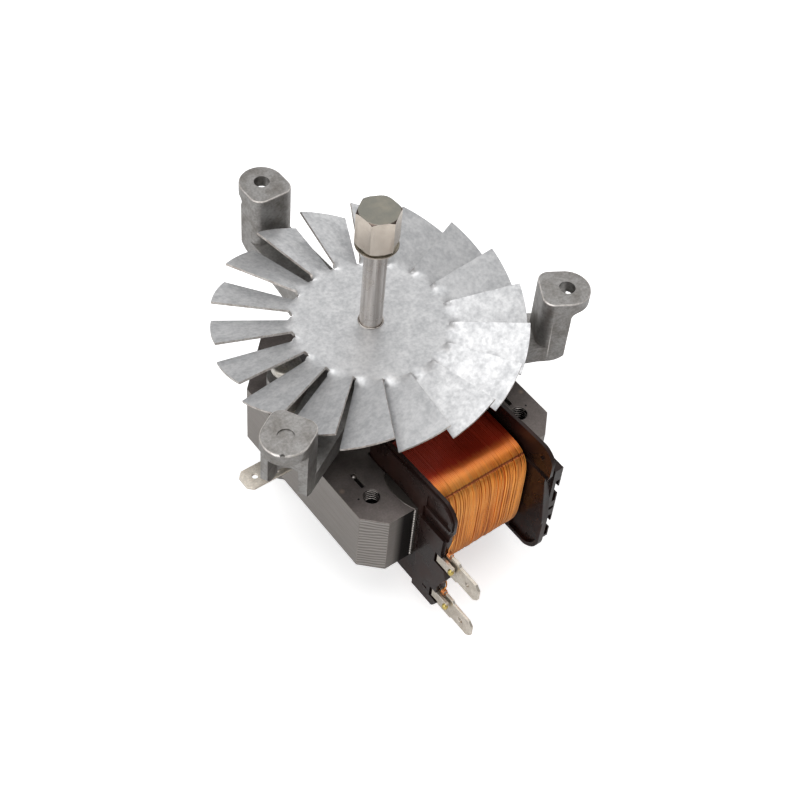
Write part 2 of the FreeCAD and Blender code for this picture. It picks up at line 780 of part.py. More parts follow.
# Front bracket: one aluminium casting. A hub carries the front bearing, three channel arms run
# out under the fan, and a hollow post stands at the end of each.
bracket = new_body("front_bracket")
hub = sketch_on(bracket, "hub_plan", "XY_Plane", "plate_base")
circle(hub, "0", "0", "hub_dia")
pad(bracket, "hub", hub, "plate_thick")
bearing_boss(bracket, "front", "front_bearing_z", "+")


def post_section(name, lift, outer, half, crown, radius):
    """Section of a post: a blunt nose toward the shaft, flared cheeks and a crowned outer end."""
    made = sketch_on(bracket, name, "XY_Plane", lift)
    outline(made, [
        ("head_nose / 2", "head_inner", "cheek_radius"),
        (half, "head_shoulder"),
        (half, outer, radius),
        ("0", outer + " + " + crown, radius),
        ("-" + half, outer),
        ("-" + half, "head_shoulder", "cheek_radius"),
        ("-head_nose / 2", "head_inner"),
    ])
    return made


head = pad(bracket, "post_head",
           post_section("head_plan", "-head_thick", "post_y", "head_width / 2",
                        "head_width / 2", "head_width / 2"), "head_thick")
taper = bracket.newObject("PartDesign::AdditiveLoft", "head_taper")
taper.Profile = post_section("taper_top", "-head_thick", "post_y", "head_width / 2",
                             "head_width / 2", "head_width / 2")
taper.Sections = [post_section("taper_base", "-leg_drop", "leg_outer", "leg_width / 2",
                               "leg_crown", "leg_arc")]
taper.Ruled = True
bracket.Tip = taper
leg = pad(bracket, "leg",
          post_section("leg_plan", "-wall_drop", "leg_outer", "leg_width / 2",
                       "leg_crown", "leg_arc"),
          "wall_drop - leg_drop")
arm_plan = sketch_on(bracket, "arm_plan", "XY_Plane", "-wall_drop")
outline(arm_plan, [
    ("arm_inner_width / 2", "pad_depth"),
    ("arm_outer_width / 2", "head_shoulder"),
    ("-arm_outer_width / 2", "head_shoulder"),
    ("-arm_inner_width / 2", "pad_depth"),
])
arm = pad(bracket, "arm", arm_plan, "wall_drop - arm_drop")
polar(bracket, "posts", [head, taper, leg, arm], "3")

# The hollows under the arms, in the posts and round the feet.
under = sketch_on(bracket, "arm_channel_plan", "XY_Plane", "plate_base")
outline(under, [
    ("arm_inner_width / 2 - arm_wall", "pad_depth"),
    ("arm_outer_width / 2 - arm_wall", "head_inner"),
    ("-arm_outer_width / 2 + arm_wall", "head_inner"),
    ("-arm_inner_width / 2 + arm_wall", "pad_depth"),
])
channel = pocket(bracket, "arm_channel", under, "wall_drop")
recess = sketch_on(bracket, "post_channel_plan", "XY_Plane", "-blind_drop")
rectangle(recess, "-post_channel / 2", "web_outer", "post_channel / 2", "fan_dia")
hollow = pocket(bracket, "post_channel_cut", recess, "wall_drop")
arch = sketch_on(bracket, "arch_view", "XZ_Plane", "-head_inner + arm_wall")
outline(arch, [
    ("-post_channel / 2", "-wall_drop - foot_radius"),
    ("post_channel / 2", "-wall_drop - foot_radius"),
    ("post_channel / 2", "-arch_drop - post_channel / 2", "post_channel / 2"),
    ("0", "-arch_drop", "post_channel / 2"),
    ("-post_channel / 2", "-arch_drop - post_channel / 2"),
])
doorway = pocket(bracket, "arch", arch, "web_outer - head_inner + 2 * arm_wall")
side_view = sketch_on(bracket, "foot_view", "YZ_Plane", "leg_width")
outline(side_view, [
    ("wall_slope_start", "-wall_drop"),
    ("wall_slope_end", "-foot_drop"),
    ("leg_outer + leg_crown - foot_radius", "-foot_drop", "foot_radius"),
    ("leg_outer + leg_crown", "-foot_drop + foot_radius"),
    ("fan_dia", "-foot_drop + foot_radius"),
    ("fan_dia", "-2 * wall_drop"),
    ("wall_slope_start", "-2 * wall_drop"),
])
foot = pocket(bracket, "foot_shape", side_view, "2 * leg_width")
polar(bracket, "post_hollows", [channel, hollow, doorway, foot], "3")
ring_plan = sketch_on(bracket, "hub_clearance_plan", "XY_Plane", "plate_base")
circle(ring_plan, "0", "0", "2 * arm_channel_start")
circle(ring_plan, "0", "0", "boss_dia")
pocket(bracket, "hub_clearance", ring_plan, "wall_drop")

# Holes through the back and right posts, with the channel carried up to the thin head.
open_plan = sketch_on(bracket, "open_channel_plan", "XY_Plane", "-head_thick")
rectangle(open_plan, "-post_channel / 2", "web_outer", "post_channel / 2", "fan_dia")
opened = pocket(bracket, "open_channel", open_plan, "blind_drop - head_thick")
hole_plan = sketch_on(bracket, "post_hole_plan", "XY_Plane")
circle(hole_plan, "0", "post_y", "post_hole_dia")
hole = pocket(bracket, "post_hole", hole_plan, "leg_drop")
polar(bracket, "open_posts", [opened, hole], "2", "240")

# Lugs and pads: the bracket stands on the stack at its two screws and under the back arm.
for side, name in (("-", "left"), ("", "right")):
    lug_x, root_x = side + "screw_x", side + "lug_root"
    tip_x = "%s(screw_x + lug_dia / 2)" % side
    low, high = "screw_y - lug_dia / 2", "screw_y + lug_dia / 2"
    lug = sketch_on(bracket, name + "_lug_plan", "XY_Plane", "plate_base")
    if side:
        outline(lug, [(root_x, low), (root_x, high), (lug_x, high, "-lug_dia / 2"),
                      (tip_x, "screw_y", "-lug_dia / 2"), (lug_x, low)])
    else:
        outline(lug, [(root_x, low), (lug_x, low, "lug_dia / 2"),
                      (tip_x, "screw_y", "lug_dia / 2"), (lug_x, high), (root_x, high)])
    pad(bracket, name + "_lug", lug, "plate_thick")
    boss = sketch_on(bracket, name + "_lug_boss_plan", "XY_Plane", "plate_base")
    circle(boss, lug_x, "screw_y", "lug_dia")
    gap_below = "stack_drop - arm_drop - plate_thick" + (" - tab_thick" if side else "")
    pad(bracket, name + "_lug_boss", boss, gap_below, reverse=True)
pad_plan = sketch_on(bracket, "back_pad_plan", "XY_Plane", "plate_base")
rectangle(pad_plan, "-pad_width / 2", "pad_reach - pad_depth / 2",
          "pad_width / 2", "pad_reach + pad_depth / 2")
pad(bracket, "back_pad", pad_plan, "stack_drop - arm_drop - plate_thick", reverse=True)
screw_holes = sketch_on(bracket, "lug_hole_plan", "XY_Plane", "arm_top")
for side in ("-", ""):
    circle(screw_holes, side + "screw_x", "screw_y", "screw_hole_dia")
pocket(bracket, "lug_holes", screw_holes, "stack_drop")
bearing_seat(bracket, "front", "front_bearing_z", "+")

# The blind post has only the shallow print of a hole.
print_plan = sketch_on(bracket, "blind_mark_plan", "XY_Plane")
circle(print_plan, "-post_y * cos(30)", "-post_y / 2", "post_hole_dia")
pocket(bracket, "blind_mark", print_plan, "post_mark_depth")
gate_plan = sketch_on(bracket, "gate_mark_plan", "XY_Plane")
circle(gate_plan, "-gate_mark_offset", "post_y + (head_width - gate_mark_dia) / 2", "gate_mark_dia")
bind(gate_plan, "AttachmentOffset.Rotation.Angle", "120")
pocket(bracket, "gate_mark", gate_plan, "gate_mark_depth")

# Rear bracket: a cast bridge under the stack with the rear bearing's boss.
rear = new_body("rear_bracket")
bridge = sketch_on(rear, "bridge_plan", "XY_Plane", "rear_base")
outline(bridge, [
    ("-screw_x", "screw_y - rear_bar_width / 2"),
    ("screw_x", "screw_y - rear_bar_width / 2", "rear_bar_width / 2"),
    ("screw_x + rear_bar_width / 2", "screw_y", "rear_bar_width / 2"),
    ("screw_x", "screw_y + rear_bar_width / 2"),
    ("-screw_x", "screw_y + rear_bar_width / 2", "rear_bar_width / 2"),
    ("-screw_x - rear_bar_width / 2", "screw_y", "rear_bar_width / 2"),
])
pad(rear, "bridge", bridge, "rear_plate")
feet = sketch_on(rear, "rear_feet_plan", "XY_Plane", "rear_top")
for side in ("-", ""):
    circle(feet, side + "screw_x", "screw_y", "rear_foot_dia")
pad(rear, "rear_feet", feet, "rear_gap")
bearing_boss(rear, "rear", "rear_bearing_z", "-")
bearing_seat(rear, "rear", "rear_bearing_z", "-")
holes = sketch_on(rear, "rear_hole_plan", "XY_Plane", "stack_base")
for side in ("-", ""):
    circle(holes, side + "screw_x", "screw_y", "screw_hole_dia")
shaft_way = sketch_on(rear, "shaft_way_plan", "XY_Plane", "rear_top")
circle(shaft_way, "0", "0", "seat_mouth_dia")
pocket(rear, "shaft_way", shaft_way, "rear_plate")
pocket(rear, "rear_holes", holes, "stack_height")

# Bracket screws: pan heads on the lugs, shanks through stack and rear bracket.
screw_parts = []
for side, name in (("-", "left"), ("", "right")):
    shank = doc.addObject("Part::Cylinder", name + "_screw_shank")
    bind(shank, "Radius", "screw_dia / 2")
    bind(shank, "Height", "arm_top - rear_base + nut_small_height + screw_tail")
    bind(shank, "Placement.Base.z", "rear_base - nut_small_height - screw_tail")
    head_part = doc.addObject("Part::Cylinder", name + "_screw_head")
    bind(head_part, "Radius", "screw_head_dia / 2")
    bind(head_part, "Height", "screw_head")
    bind(head_part, "Placement.Base.z", "arm_top")
    for piece in (shank, head_part):
        bind(piece, "Placement.Base.x", side + "screw_x")
        bind(piece, "Placement.Base.y", "screw_y")
        screw_parts.append(piece)
screws = doc.addObject("Part::MultiFuse", "bracket_screws")
screws.Shapes = screw_parts
screws.Label = "bracket_screws"

# Nuts at the far ends of the bracket screws.
nut_parts = []
for side, name in (("-", "left"), ("", "right")):
    blank = doc.addObject("Part::Prism", name + "_nut_blank")
    blank.Polygon = 6
    bind(blank, "Circumradius", "nut_small_flats / sqrt(3)")
    bind(blank, "Height", "nut_small_height")
    bore = doc.addObject("Part::Cylinder", name + "_nut_bore")
    bind(bore, "Radius", "screw_dia / 2 + press_gap")
    bind(bore, "Height", "nut_small_height")
    for piece in (blank, bore):
        bind(piece, "Placement.Base.x", side + "screw_x")
        bind(piece, "Placement.Base.y", "screw_y")
        bind(piece, "Placement.Base.z", "rear_base - nut_small_height")
    drilled = doc.addObject("Part::Cut", name + "_nut")
    drilled.Base = blank
    drilled.Tool = bore
    nut_parts.append(drilled)
nuts = doc.addObject("Part::Compound", "bracket_nuts")
nuts.Links = nut_parts
nuts.Label = "bracket_nuts"

# Coil: enamelled copper wire wound round the bobbin's tube.
coil = new_body("coil")
wound = sketch_on(coil, "coil_section", "YZ_Plane", "-coil_half")
coil_y = "tube_half_y + press_gap + coil_build"
coil_z = "tube_half_z + press_gap + coil_build"
outline(wound, [
    ("core_y - %s + coil_radius" % ("(" + coil_y + ")"), "stack_middle - (%s)" % coil_z),
    ("core_y + (%s) - coil_radius" % coil_y, "stack_middle - (%s)" % coil_z,
     "coil_radius + press_gap"),
    ("core_y + (%s)" % coil_y, "stack_middle - (%s) + coil_radius" % coil_z),
    ("core_y + (%s)" % coil_y, "stack_middle + (%s) - coil_radius" % coil_z,
     "coil_radius + press_gap"),
    ("core_y + (%s) - coil_radius" % coil_y, "stack_middle + (%s)" % coil_z),
    ("core_y - (%s) + coil_radius" % coil_y, "stack_middle + (%s)" % coil_z,
     "coil_radius + press_gap"),
    ("core_y - (%s)" % coil_y, "stack_middle + (%s) - coil_radius" % coil_z),
    ("core_y - (%s)" % coil_y, "stack_middle - (%s) + coil_radius" % coil_z,
     "coil_radius + press_gap"),
])
rectangle(wound, "core_y - (tube_half_y + press_gap)", "stack_middle - (tube_half_z + press_gap)",
          "core_y + (tube_half_y + press_gap)", "stack_middle + (tube_half_z + press_gap)")
pad(coil, "winding", wound, "2 * coil_half")

# Bobbin: one moulding. A square tube on the core bar and a tall flange at each end, whose outer
# lip is lower than its inner rim.
bobbin = new_body("bobbin")
tube = sketch_on(bobbin, "tube_section", "YZ_Plane", "-flange_half")
rectangle(tube, "core_y - (tube_half_y)", "stack_middle - (tube_half_z)",
          "core_y + (tube_half_y)", "stack_middle + (tube_half_z)")
pad(bobbin, "tube", tube, "2 * flange_half")


def flange_edge(drop):
    """Top and ear of a flange, from its lower back corner to the neck, set in by a drop."""
    return [
        ("core_y + flange_back", "stack_middle - flange_fall"),
        ("core_y + flange_back", "stack_middle + flange_rise - flange_corner"),
        ("core_y + flange_back - flange_corner", "stack_middle + flange_rise - " + drop),
        ("core_y - ear_start", "stack_middle + ear_shoulder - " + drop),
        ("core_y - ear_crest", "stack_middle + ear_top - " + drop, "ear_radius"),
        ("core_y - ear_front + %s / 2" % drop, "stack_middle + ear_front_rise"),
        ("core_y - ear_front + %s / 2" % drop, "stack_middle + ear_chin_rise"),
        ("core_y - neck_front", "stack_middle + neck_rise"),
    ]


left_foot = [("core_y - block_foot", "stack_middle - flange_fall")]
right_foot = [
    ("core_y - jaw_front", "stack_middle - jaw_top_fall"),
    ("core_y - jaw_front", "stack_middle - jaw_fall", "heel_radius"),
    ("core_y - heel", "stack_middle - flange_fall"),
]
for side, low, rim_low, foot_corners in (
        ("left", "-flange_half", "-flange_half + flange_thick - rim_thick", left_foot),
        ("right", "flange_half - flange_thick", "flange_half - flange_thick", right_foot)):
    plate = sketch_on(bobbin, side + "_flange_outline", "YZ_Plane", low)
    outline(plate, flange_edge("rim_step") + foot_corners)
    pad(bobbin, side + "_flange", plate, "flange_thick")
    rim = sketch_on(bobbin, side + "_rim_outline", "YZ_Plane", rim_low)
    outline(rim, flange_edge("0") + foot_corners)
    pad(bobbin, side + "_rim", rim, "rim_thick")

# Terminal block on the left flange, with a rib above it and a way for the coil's leads between.
block = sketch_on(bobbin, "block_outline", "YZ_Plane", "-block_outer")
outline(block, [
    ("core_y - block_back", "stack_middle - block_fall"),
    ("core_y - block_back", "stack_middle + block_rise"),
    ("core_y - block_top_front", "stack_middle + block_rise"),
    ("core_y - block_neck", "stack_middle + block_neck_rise"),
    ("core_y - block_nose", "stack_middle - block_nose_fall"),
    ("core_y - block_under", "stack_middle - block_under_fall"),
    ("core_y - block_recess", "stack_middle - block_recess_fall"),
    ("core_y - block_recess", "stack_middle - block_recess_fall - block_recess_height"),
    ("core_y - block_chin", "stack_middle - block_chin_fall"),
    ("core_y - block_foot", "stack_middle - block_foot_fall"),
    ("core_y - block_foot + tab_step", "stack_middle - block_fall"),
])
pad(bobbin, "terminal_block", block, "block_reach")
slit = sketch_on(bobbin, "block_slit_outline", "YZ_Plane", "-block_outer")
rectangle(slit, "core_y - block_slit - block_slit_length / 2", "stack_middle - block_slit_fall",
          "core_y - block_slit + block_slit_length / 2",
          "stack_middle - block_slit_fall + block_slit_height")
pocket(bobbin, "block_slit_cut", slit, "block_proud", reverse=True)
lead_way = sketch_on(bobbin, "lead_way_outline", "YZ_Plane", "-flange_half")
rectangle(lead_way, "core_y - ear_front", "stack_middle + block_rise",
          "core_y - block_back", "stack_middle + rib_rise - rib_height / 2")
pocket(bobbin, "lead_way", lead_way, "lead_way_depth", reverse=True)
panel = sketch_on(bobbin, "ear_panel_outline", "YZ_Plane", "-flange_half")
outline(panel, [
    ("core_y - panel_back", "stack_middle + rib_rise + rib_height / 2"),
    ("core_y - panel_back", "stack_middle + panel_rise"),
    ("core_y - ear_crest", "stack_middle + panel_rise", "ear_radius"),
    ("core_y - panel_front", "stack_middle + ear_front_rise - rim_step"),
    ("core_y - panel_front", "stack_middle + rib_rise + rib_height / 2"),
])
pocket(bobbin, "ear_panel", panel, "panel_depth", reverse=True)
rib = sketch_on(bobbin, "rib_outline", "YZ_Plane", "-flange_half")
rectangle(rib, "core_y - ear_front + rim_step / 2", "stack_middle + rib_rise - rib_height / 2",
          "core_y - panel_back", "stack_middle + rib_rise + rib_height / 2")
pad(bobbin, "rib", rib, "rib_proud", reverse=True)

# Inner face of the right flange: a raised slab, a stud on the ear, and a hollow with a wire slot.
slab = sketch_on(bobbin, "slab_outline", "YZ_Plane", "flange_half - flange_thick")
outline(slab, [
    ("core_y - slab_back", "stack_middle - slab_fall"),
    ("core_y - slab_back", "stack_middle + slab_rise"),
    ("core_y - neck_front", "stack_middle + slab_rise"),
    ("core_y - neck_front", "stack_middle + neck_rise"),
    ("core_y - jaw_front", "stack_middle - jaw_top_fall", "slab_toe_radius"),
    ("core_y - slab_toe", "stack_middle - slab_fall"),
])
pad(bobbin, "slab", slab, "slab_proud", reverse=True)
stud = sketch_on(bobbin, "stud_outline", "YZ_Plane", "flange_half - flange_thick")
circle(stud, "core_y - stud_back", "stack_middle + stud_rise", "stud_dia")
pad(bobbin, "stud", stud, "slab_proud", reverse=True)
hollow_view = sketch_on(bobbin, "hollow_outline", "YZ_Plane", "flange_half - flange_thick")
outline(hollow_view, [
    ("core_y - slab_back + hollow_rim", "stack_middle - hollow_base"),
    ("core_y - slab_back + hollow_rim", "stack_middle - hollow_top"),
    ("core_y - jaw_front + hollow_rim", "stack_middle - hollow_top"),
    ("core_y - jaw_front + hollow_rim", "stack_middle - jaw_fall", "heel_radius"),
    ("core_y - heel", "stack_middle - hollow_base"),
])
pocket(bobbin, "hollow", hollow_view, "hollow_depth", reverse=True)
wire_slot = sketch_on(bobbin, "wire_slot_outline", "YZ_Plane", "flange_half - flange_thick")
rectangle(wire_slot, "core_y - wire_slot_front", "stack_middle - wire_slot_fall - wire_slot_height / 2",
          "core_y - wire_slot_back", "stack_middle - wire_slot_fall + wire_slot_height / 2")
pocket(bobbin, "wire_slot", wire_slot, "flange_thick", reverse=True)

# Empty terminal pocket outside the right flange: two tab slots, each with a notch in its outer
# wall, and an oval between them.
pocket_view = sketch_on(bobbin, "pocket_outline", "YZ_Plane", "flange_half")
rectangle(pocket_view, "core_y - pocket_front", "stack_middle - pocket_fall",
          "core_y - pocket_back", "stack_middle + pocket_rise")
pad(bobbin, "pocket_block", pocket_view, "pocket_reach")
pocket_slots = sketch_on(bobbin, "pocket_slot_section", "XZ_Plane", "pocket_front - core_y")
notches = sketch_on(bobbin, "pocket_notch_section", "XZ_Plane", "pocket_front - core_y")
for middle in ("(stack_middle + pocket_slot_rise)",
               "(stack_middle + pocket_slot_rise - pocket_slot_pitch)"):
    rectangle(pocket_slots, "flange_half + pocket_wall", middle + " - pocket_slot_length / 2",
              "flange_half + pocket_reach - pocket_skin", middle + " + pocket_slot_length / 2")
    rectangle(notches, "flange_half + pocket_wall", middle + " - pocket_notch_height / 2",
              "flange_half + 2 * pocket_reach", middle + " + pocket_notch_height / 2")
oval_x = "(flange_half + pocket_reach / 2 - pocket_oval_length / 2)"
oval_z = "stack_middle - pocket_oval_fall"
outline(pocket_slots, [
    (oval_x, oval_z + " - pocket_oval_radius"),
    (oval_x + " + pocket_oval_length", oval_z + " - pocket_oval_radius", "pocket_oval_radius"),
    (oval_x + " + pocket_oval_length + pocket_oval_radius", oval_z, "pocket_oval_radius"),
    (oval_x + " + pocket_oval_length", oval_z + " + pocket_oval_radius"),
    (oval_x, oval_z + " + pocket_oval_radius", "pocket_oval_radius"),
    (oval_x + " - pocket_oval_radius", oval_z, "pocket_oval_radius"),
])
pocket(bobbin, "pocket_slots", pocket_slots, "pocket_depth")
pocket(bobbin, "pocket_notches", notches, "pocket_front - pocket_back")

# The way for the core bar, and the slots for the tabs and their prongs.
through = sketch_on(bobbin, "tube_hole_section", "YZ_Plane", "block_outer + pocket_reach")
rectangle(through, "core_y - core_width / 2 - loose_gap", "stack_middle - stack_height / 2 - loose_gap",
          "core_y + core_width / 2 + loose_gap", "stack_middle + stack_height / 2 + loose_gap")
pocket(bobbin, "tube_hole", through, "2 * (block_outer + pocket_reach)")
tab_slots = sketch_on(bobbin, "tab_slot_section", "XZ_Plane", "block_front")
for height in ("upper_tab_z", "lower_tab_z"):
    rectangle(tab_slots,
              "-tab_plane - tab_thick / 2 - press_gap",
              height + " - tab_width / 2 - tab_step - press_gap",
              "-tab_plane + tab_thick / 2 + press_gap",
              height + " + tab_width / 2 + tab_step + press_gap")
pocket(bobbin, "tab_slots", tab_slots, "block_front - tab_root")
prong_slots = sketch_on(bobbin, "prong_slot_section", "XZ_Plane", "block_front")
for height in ("upper_prong_z", "lower_prong_z"):
    rectangle(prong_slots,
              "-prong_plane - prong_width", height + " - prong_width / 2 - prong_room",
              "-tab_plane", height + " + prong_width / 2 + press_gap")
pocket(bobbin, "prong_slots", prong_slots, "block_front - prong_root + prong_room")

# Terminals: tinned brass tabs of one width. Each has a wide solder prong folded beside it, and a
# narrow finger on its upper edge that the coil's lead is wound on.
for label, height, prong_height in (
        ("terminal_upper", "upper_tab_z", "upper_prong_z"),
        ("terminal_lower", "lower_tab_z", "lower_prong_z")):
    tab = new_body(label)
    view = sketch_on(tab, label + "_outline", "YZ_Plane", "-tab_plane - tab_thick / 2")
    half, wide = "tab_width / 2", "(tab_width / 2 + tab_step)"
    outline(view, [
        ("-tab_root", height + " - " + wide),
        ("-tab_root", height + " + " + wide),
        ("-finger_tip", height + " + " + wide),
        ("-finger_tip", height + " + %s - finger_height" % wide),
        ("-finger_root", height + " + %s - finger_height" % wide),
        ("-finger_root", height + " + %s - finger_height - finger_notch" % wide),
        ("-finger_tip - finger_gap", height + " + %s - finger_height - finger_notch" % wide),
        ("-finger_tip - finger_gap", height + " + " + wide),
        ("-tab_shoulder", height + " + " + wide),
        ("-tab_shoulder - tab_step", height + " + " + half),
        ("-tab_tip + tab_chamfer", height + " + " + half),
        ("-tab_tip", height + " + %s - tab_chamfer" % half),
        ("-tab_tip", height + " - %s + tab_chamfer" % half),
        ("-tab_tip + tab_chamfer", height + " - " + half),
        ("-tab_shoulder - tab_step", height + " - " + half),
        ("-tab_shoulder", height + " - " + wide),
    ])
    circle(view, "-tab_tip + tab_hole_back", height, "tab_hole_dia")
    pad(tab, label + "_blade", view, "tab_thick")
    fold = sketch_on(tab, label + "_fold_section", "XZ_Plane", "prong_root")
    rectangle(fold, "-prong_plane", prong_height + " - prong_width / 2",
              "-tab_plane", prong_height + " + prong_width / 2")
    pad(tab, label + "_fold", fold, "prong_thick")
    prong = sketch_on(tab, label + "_prong_section", "XZ_Plane", "prong_root")
    rectangle(prong, "-prong_plane - prong_thick / 2", prong_height + " - prong_width / 2",
              "-prong_plane + prong_thick / 2", prong_height + " + prong_width / 2")
    pad(tab, label + "_prong", prong, "prong_sink + prong_reach")

# Earth tab: a flat tab along the stack, with an eye clamped under the bracket's left screw.
earth = new_body("earth_tab")
plan = sketch_on(earth, "earth_plan", "XY_Plane", "stack_top")
outline(plan, [
    ("-earth_tip", "-earth_y + tab_width / 2 - tab_chamfer"),
    ("-earth_tip", "-earth_y - tab_width / 2 + tab_chamfer"),
    ("-earth_tip + tab_chamfer", "-earth_y - tab_width / 2"),
    ("-screw_x + earth_eye_dia / 2", "-earth_y - tab_width / 2"),
    ("-screw_x + earth_eye_dia / 2", "screw_y", "earth_eye_dia / 2"),
    ("-screw_x", "screw_y + earth_eye_dia / 2", "earth_eye_dia / 2"),
    ("-screw_x - earth_eye_dia / 2", "screw_y"),
    ("-screw_x - earth_eye_dia / 2", "-earth_y + tab_width / 2"),
    ("-earth_tip + tab_chamfer", "-earth_y + tab_width / 2"),
])
circle(plan, "-earth_tip + tab_hole_back - tab_step", "-earth_y", "tab_hole_dia")
circle(plan, "-screw_x", "screw_y", "screw_hole_dia")
rectangle(plan, "-earth_slot - earth_slot_length / 2", "-earth_y - tab_width / 4 - earth_slot_width",
          "-earth_slot + earth_slot_length / 2", "-earth_y - tab_width / 4")
pad(earth, "earth_blade", plan, "tab_thick")

doc.recompute()
broken = [item.Name for item in doc.Objects if "Invalid" in item.State or "Error" in item.State]
if broken:
    raise RuntimeError("failed: " + ", ".join(broken))
nodes = [item for item in doc.Objects if item.TypeId == "PartDesign::Body"] + [screws, nuts]
for node in nodes:
    if node.Shape.isNull() or not node.Shape.isValid():
        raise RuntimeError("bad shape: " + node.Label)
    node.Shape.exportStep("parts/" + node.Label + ".step")
    print(node.Label, len(node.Shape.Solids), round(node.Shape.Volume, 1))
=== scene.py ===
import math

import bmesh
import bpy
import numpy as np
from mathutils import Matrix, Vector


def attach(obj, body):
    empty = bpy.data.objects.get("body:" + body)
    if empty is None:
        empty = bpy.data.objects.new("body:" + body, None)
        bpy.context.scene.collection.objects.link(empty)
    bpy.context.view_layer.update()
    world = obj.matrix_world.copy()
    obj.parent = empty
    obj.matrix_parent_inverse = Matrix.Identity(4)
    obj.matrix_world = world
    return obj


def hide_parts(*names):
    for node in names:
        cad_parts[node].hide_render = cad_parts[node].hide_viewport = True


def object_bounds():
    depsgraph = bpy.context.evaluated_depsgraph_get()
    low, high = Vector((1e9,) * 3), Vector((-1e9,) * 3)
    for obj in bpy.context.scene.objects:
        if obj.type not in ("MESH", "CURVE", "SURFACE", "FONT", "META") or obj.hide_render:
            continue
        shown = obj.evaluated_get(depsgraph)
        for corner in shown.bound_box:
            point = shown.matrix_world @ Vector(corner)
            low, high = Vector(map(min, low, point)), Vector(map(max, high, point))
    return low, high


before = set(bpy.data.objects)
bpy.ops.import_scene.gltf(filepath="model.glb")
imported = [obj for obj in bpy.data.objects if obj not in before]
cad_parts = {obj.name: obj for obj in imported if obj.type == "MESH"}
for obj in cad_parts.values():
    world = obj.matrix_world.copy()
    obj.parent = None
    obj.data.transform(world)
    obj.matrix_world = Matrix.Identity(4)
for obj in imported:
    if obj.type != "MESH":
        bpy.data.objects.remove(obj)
cad_low, cad_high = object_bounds()
MM = 0.001

# Studio. A pale floor under the motor, a wide soft lamp straight above it, weaker ones from the
# left and from behind on the right, and a grey surround that the camera sees as white. The camera
# looks down on the nut and the coil from the front left.
CAMERA_PLACE = (-170.81, -206.35, 279.18)
CAMERA_TURN = (39.8625, -3.9459, -36.9761)
CAMERA_LENS = 68.884
FLOOR_DROP = 0.2
SURROUND_LEVEL = 0.42
FLOOR_GLOW = 0.55

camera = bpy.data.cameras.new("camera")
camera.lens = CAMERA_LENS
camera.sensor_width = 36.0
camera.clip_start = 0.01
camera_object = bpy.data.objects.new("camera", camera)
camera_object.location = [value * MM for value in CAMERA_PLACE]
camera_object.rotation_euler = [math.radians(value) for value in CAMERA_TURN]
bpy.context.scene.collection.objects.link(camera_object)
bpy.context.scene.camera = camera_object
bpy.context.scene.view_settings.view_transform = "Standard"


def soft_lamp(name, place, target, size, power):
    """A square area lamp at a place, facing a target, both in millimetres."""
    lamp = bpy.data.lights.new(name, "AREA")
    lamp.shape = "SQUARE"
    lamp.size = size * MM
    lamp.energy = power
    made = bpy.data.objects.new(name, lamp)
    start = np.array(place, float) * MM
    aim = np.array(target, float) * MM - start
    made.location = start
    made.rotation_mode = "QUATERNION"
    made.rotation_quaternion = Vector(aim).to_track_quat("-Z", "Y")
    bpy.context.scene.collection.objects.link(made)


soft_lamp("overhead_lamp", (-45, 65, 640), (0, 0, -20), 640, 2.6)
soft_lamp("left_lamp", (-600, -190, 240), (0, 0, -20), 560, 1.5)
soft_lamp("back_lamp", (520, 380, 330), (0, -10, -30), 600, 0.75)

world = bpy.data.worlds.new("surround")
world.use_nodes = True
bpy.context.scene.world = world
world_tree = world.node_tree
surround = world_tree.nodes["Background"]
surround.inputs["Color"].default_value = (1, 1, 1, 1)
ray_kind = world_tree.nodes.new("ShaderNodeLightPath")
seen_white = world_tree.nodes.new("ShaderNodeMath")
seen_white.operation = "MULTIPLY_ADD"
seen_white.inputs[1].default_value = 1 - SURROUND_LEVEL
seen_white.inputs[2].default_value = SURROUND_LEVEL
world_tree.links.new(ray_kind.outputs["Is Camera Ray"], seen_white.inputs[0])
world_tree.links.new(seen_white.outputs[0], surround.inputs["Strength"])

floor_finish = bpy.data.materials.new("floor_paper")
floor_finish.use_nodes = True
floor_tree = floor_finish.node_tree
paper = floor_tree.nodes["Principled BSDF"]
paper.inputs["Base Color"].default_value = (0.93, 0.93, 0.93, 1)
paper.inputs["Roughness"].default_value = 0.9
floor_ray = floor_tree.nodes.new("ShaderNodeLightPath")
floor_glow = floor_tree.nodes.new("ShaderNodeMath")
floor_glow.operation = "MULTIPLY"
floor_glow.inputs[1].default_value = FLOOR_GLOW
floor_tree.links.new(floor_ray.outputs["Is Camera Ray"], floor_glow.inputs[0])
paper.inputs["Emission Color"].default_value = (1, 1, 1, 1)
floor_tree.links.new(floor_glow.outputs[0], paper.inputs["Emission Strength"])
FLOOR_HALF = 3.0
floor_z = cad_low.z - FLOOR_DROP * MM
floor_mesh = bpy.data.meshes.new("floor")
floor_mesh.from_pydata([(-FLOOR_HALF, -FLOOR_HALF, floor_z), (FLOOR_HALF, -FLOOR_HALF, floor_z),
                        (FLOOR_HALF, FLOOR_HALF, floor_z), (-FLOOR_HALF, FLOOR_HALF, floor_z)],
                       [], [(0, 1, 2, 3)])
floor_mesh.materials.append(floor_finish)
floor = bpy.data.objects.new("floor", floor_mesh)
bpy.context.scene.collection.objects.link(floor)


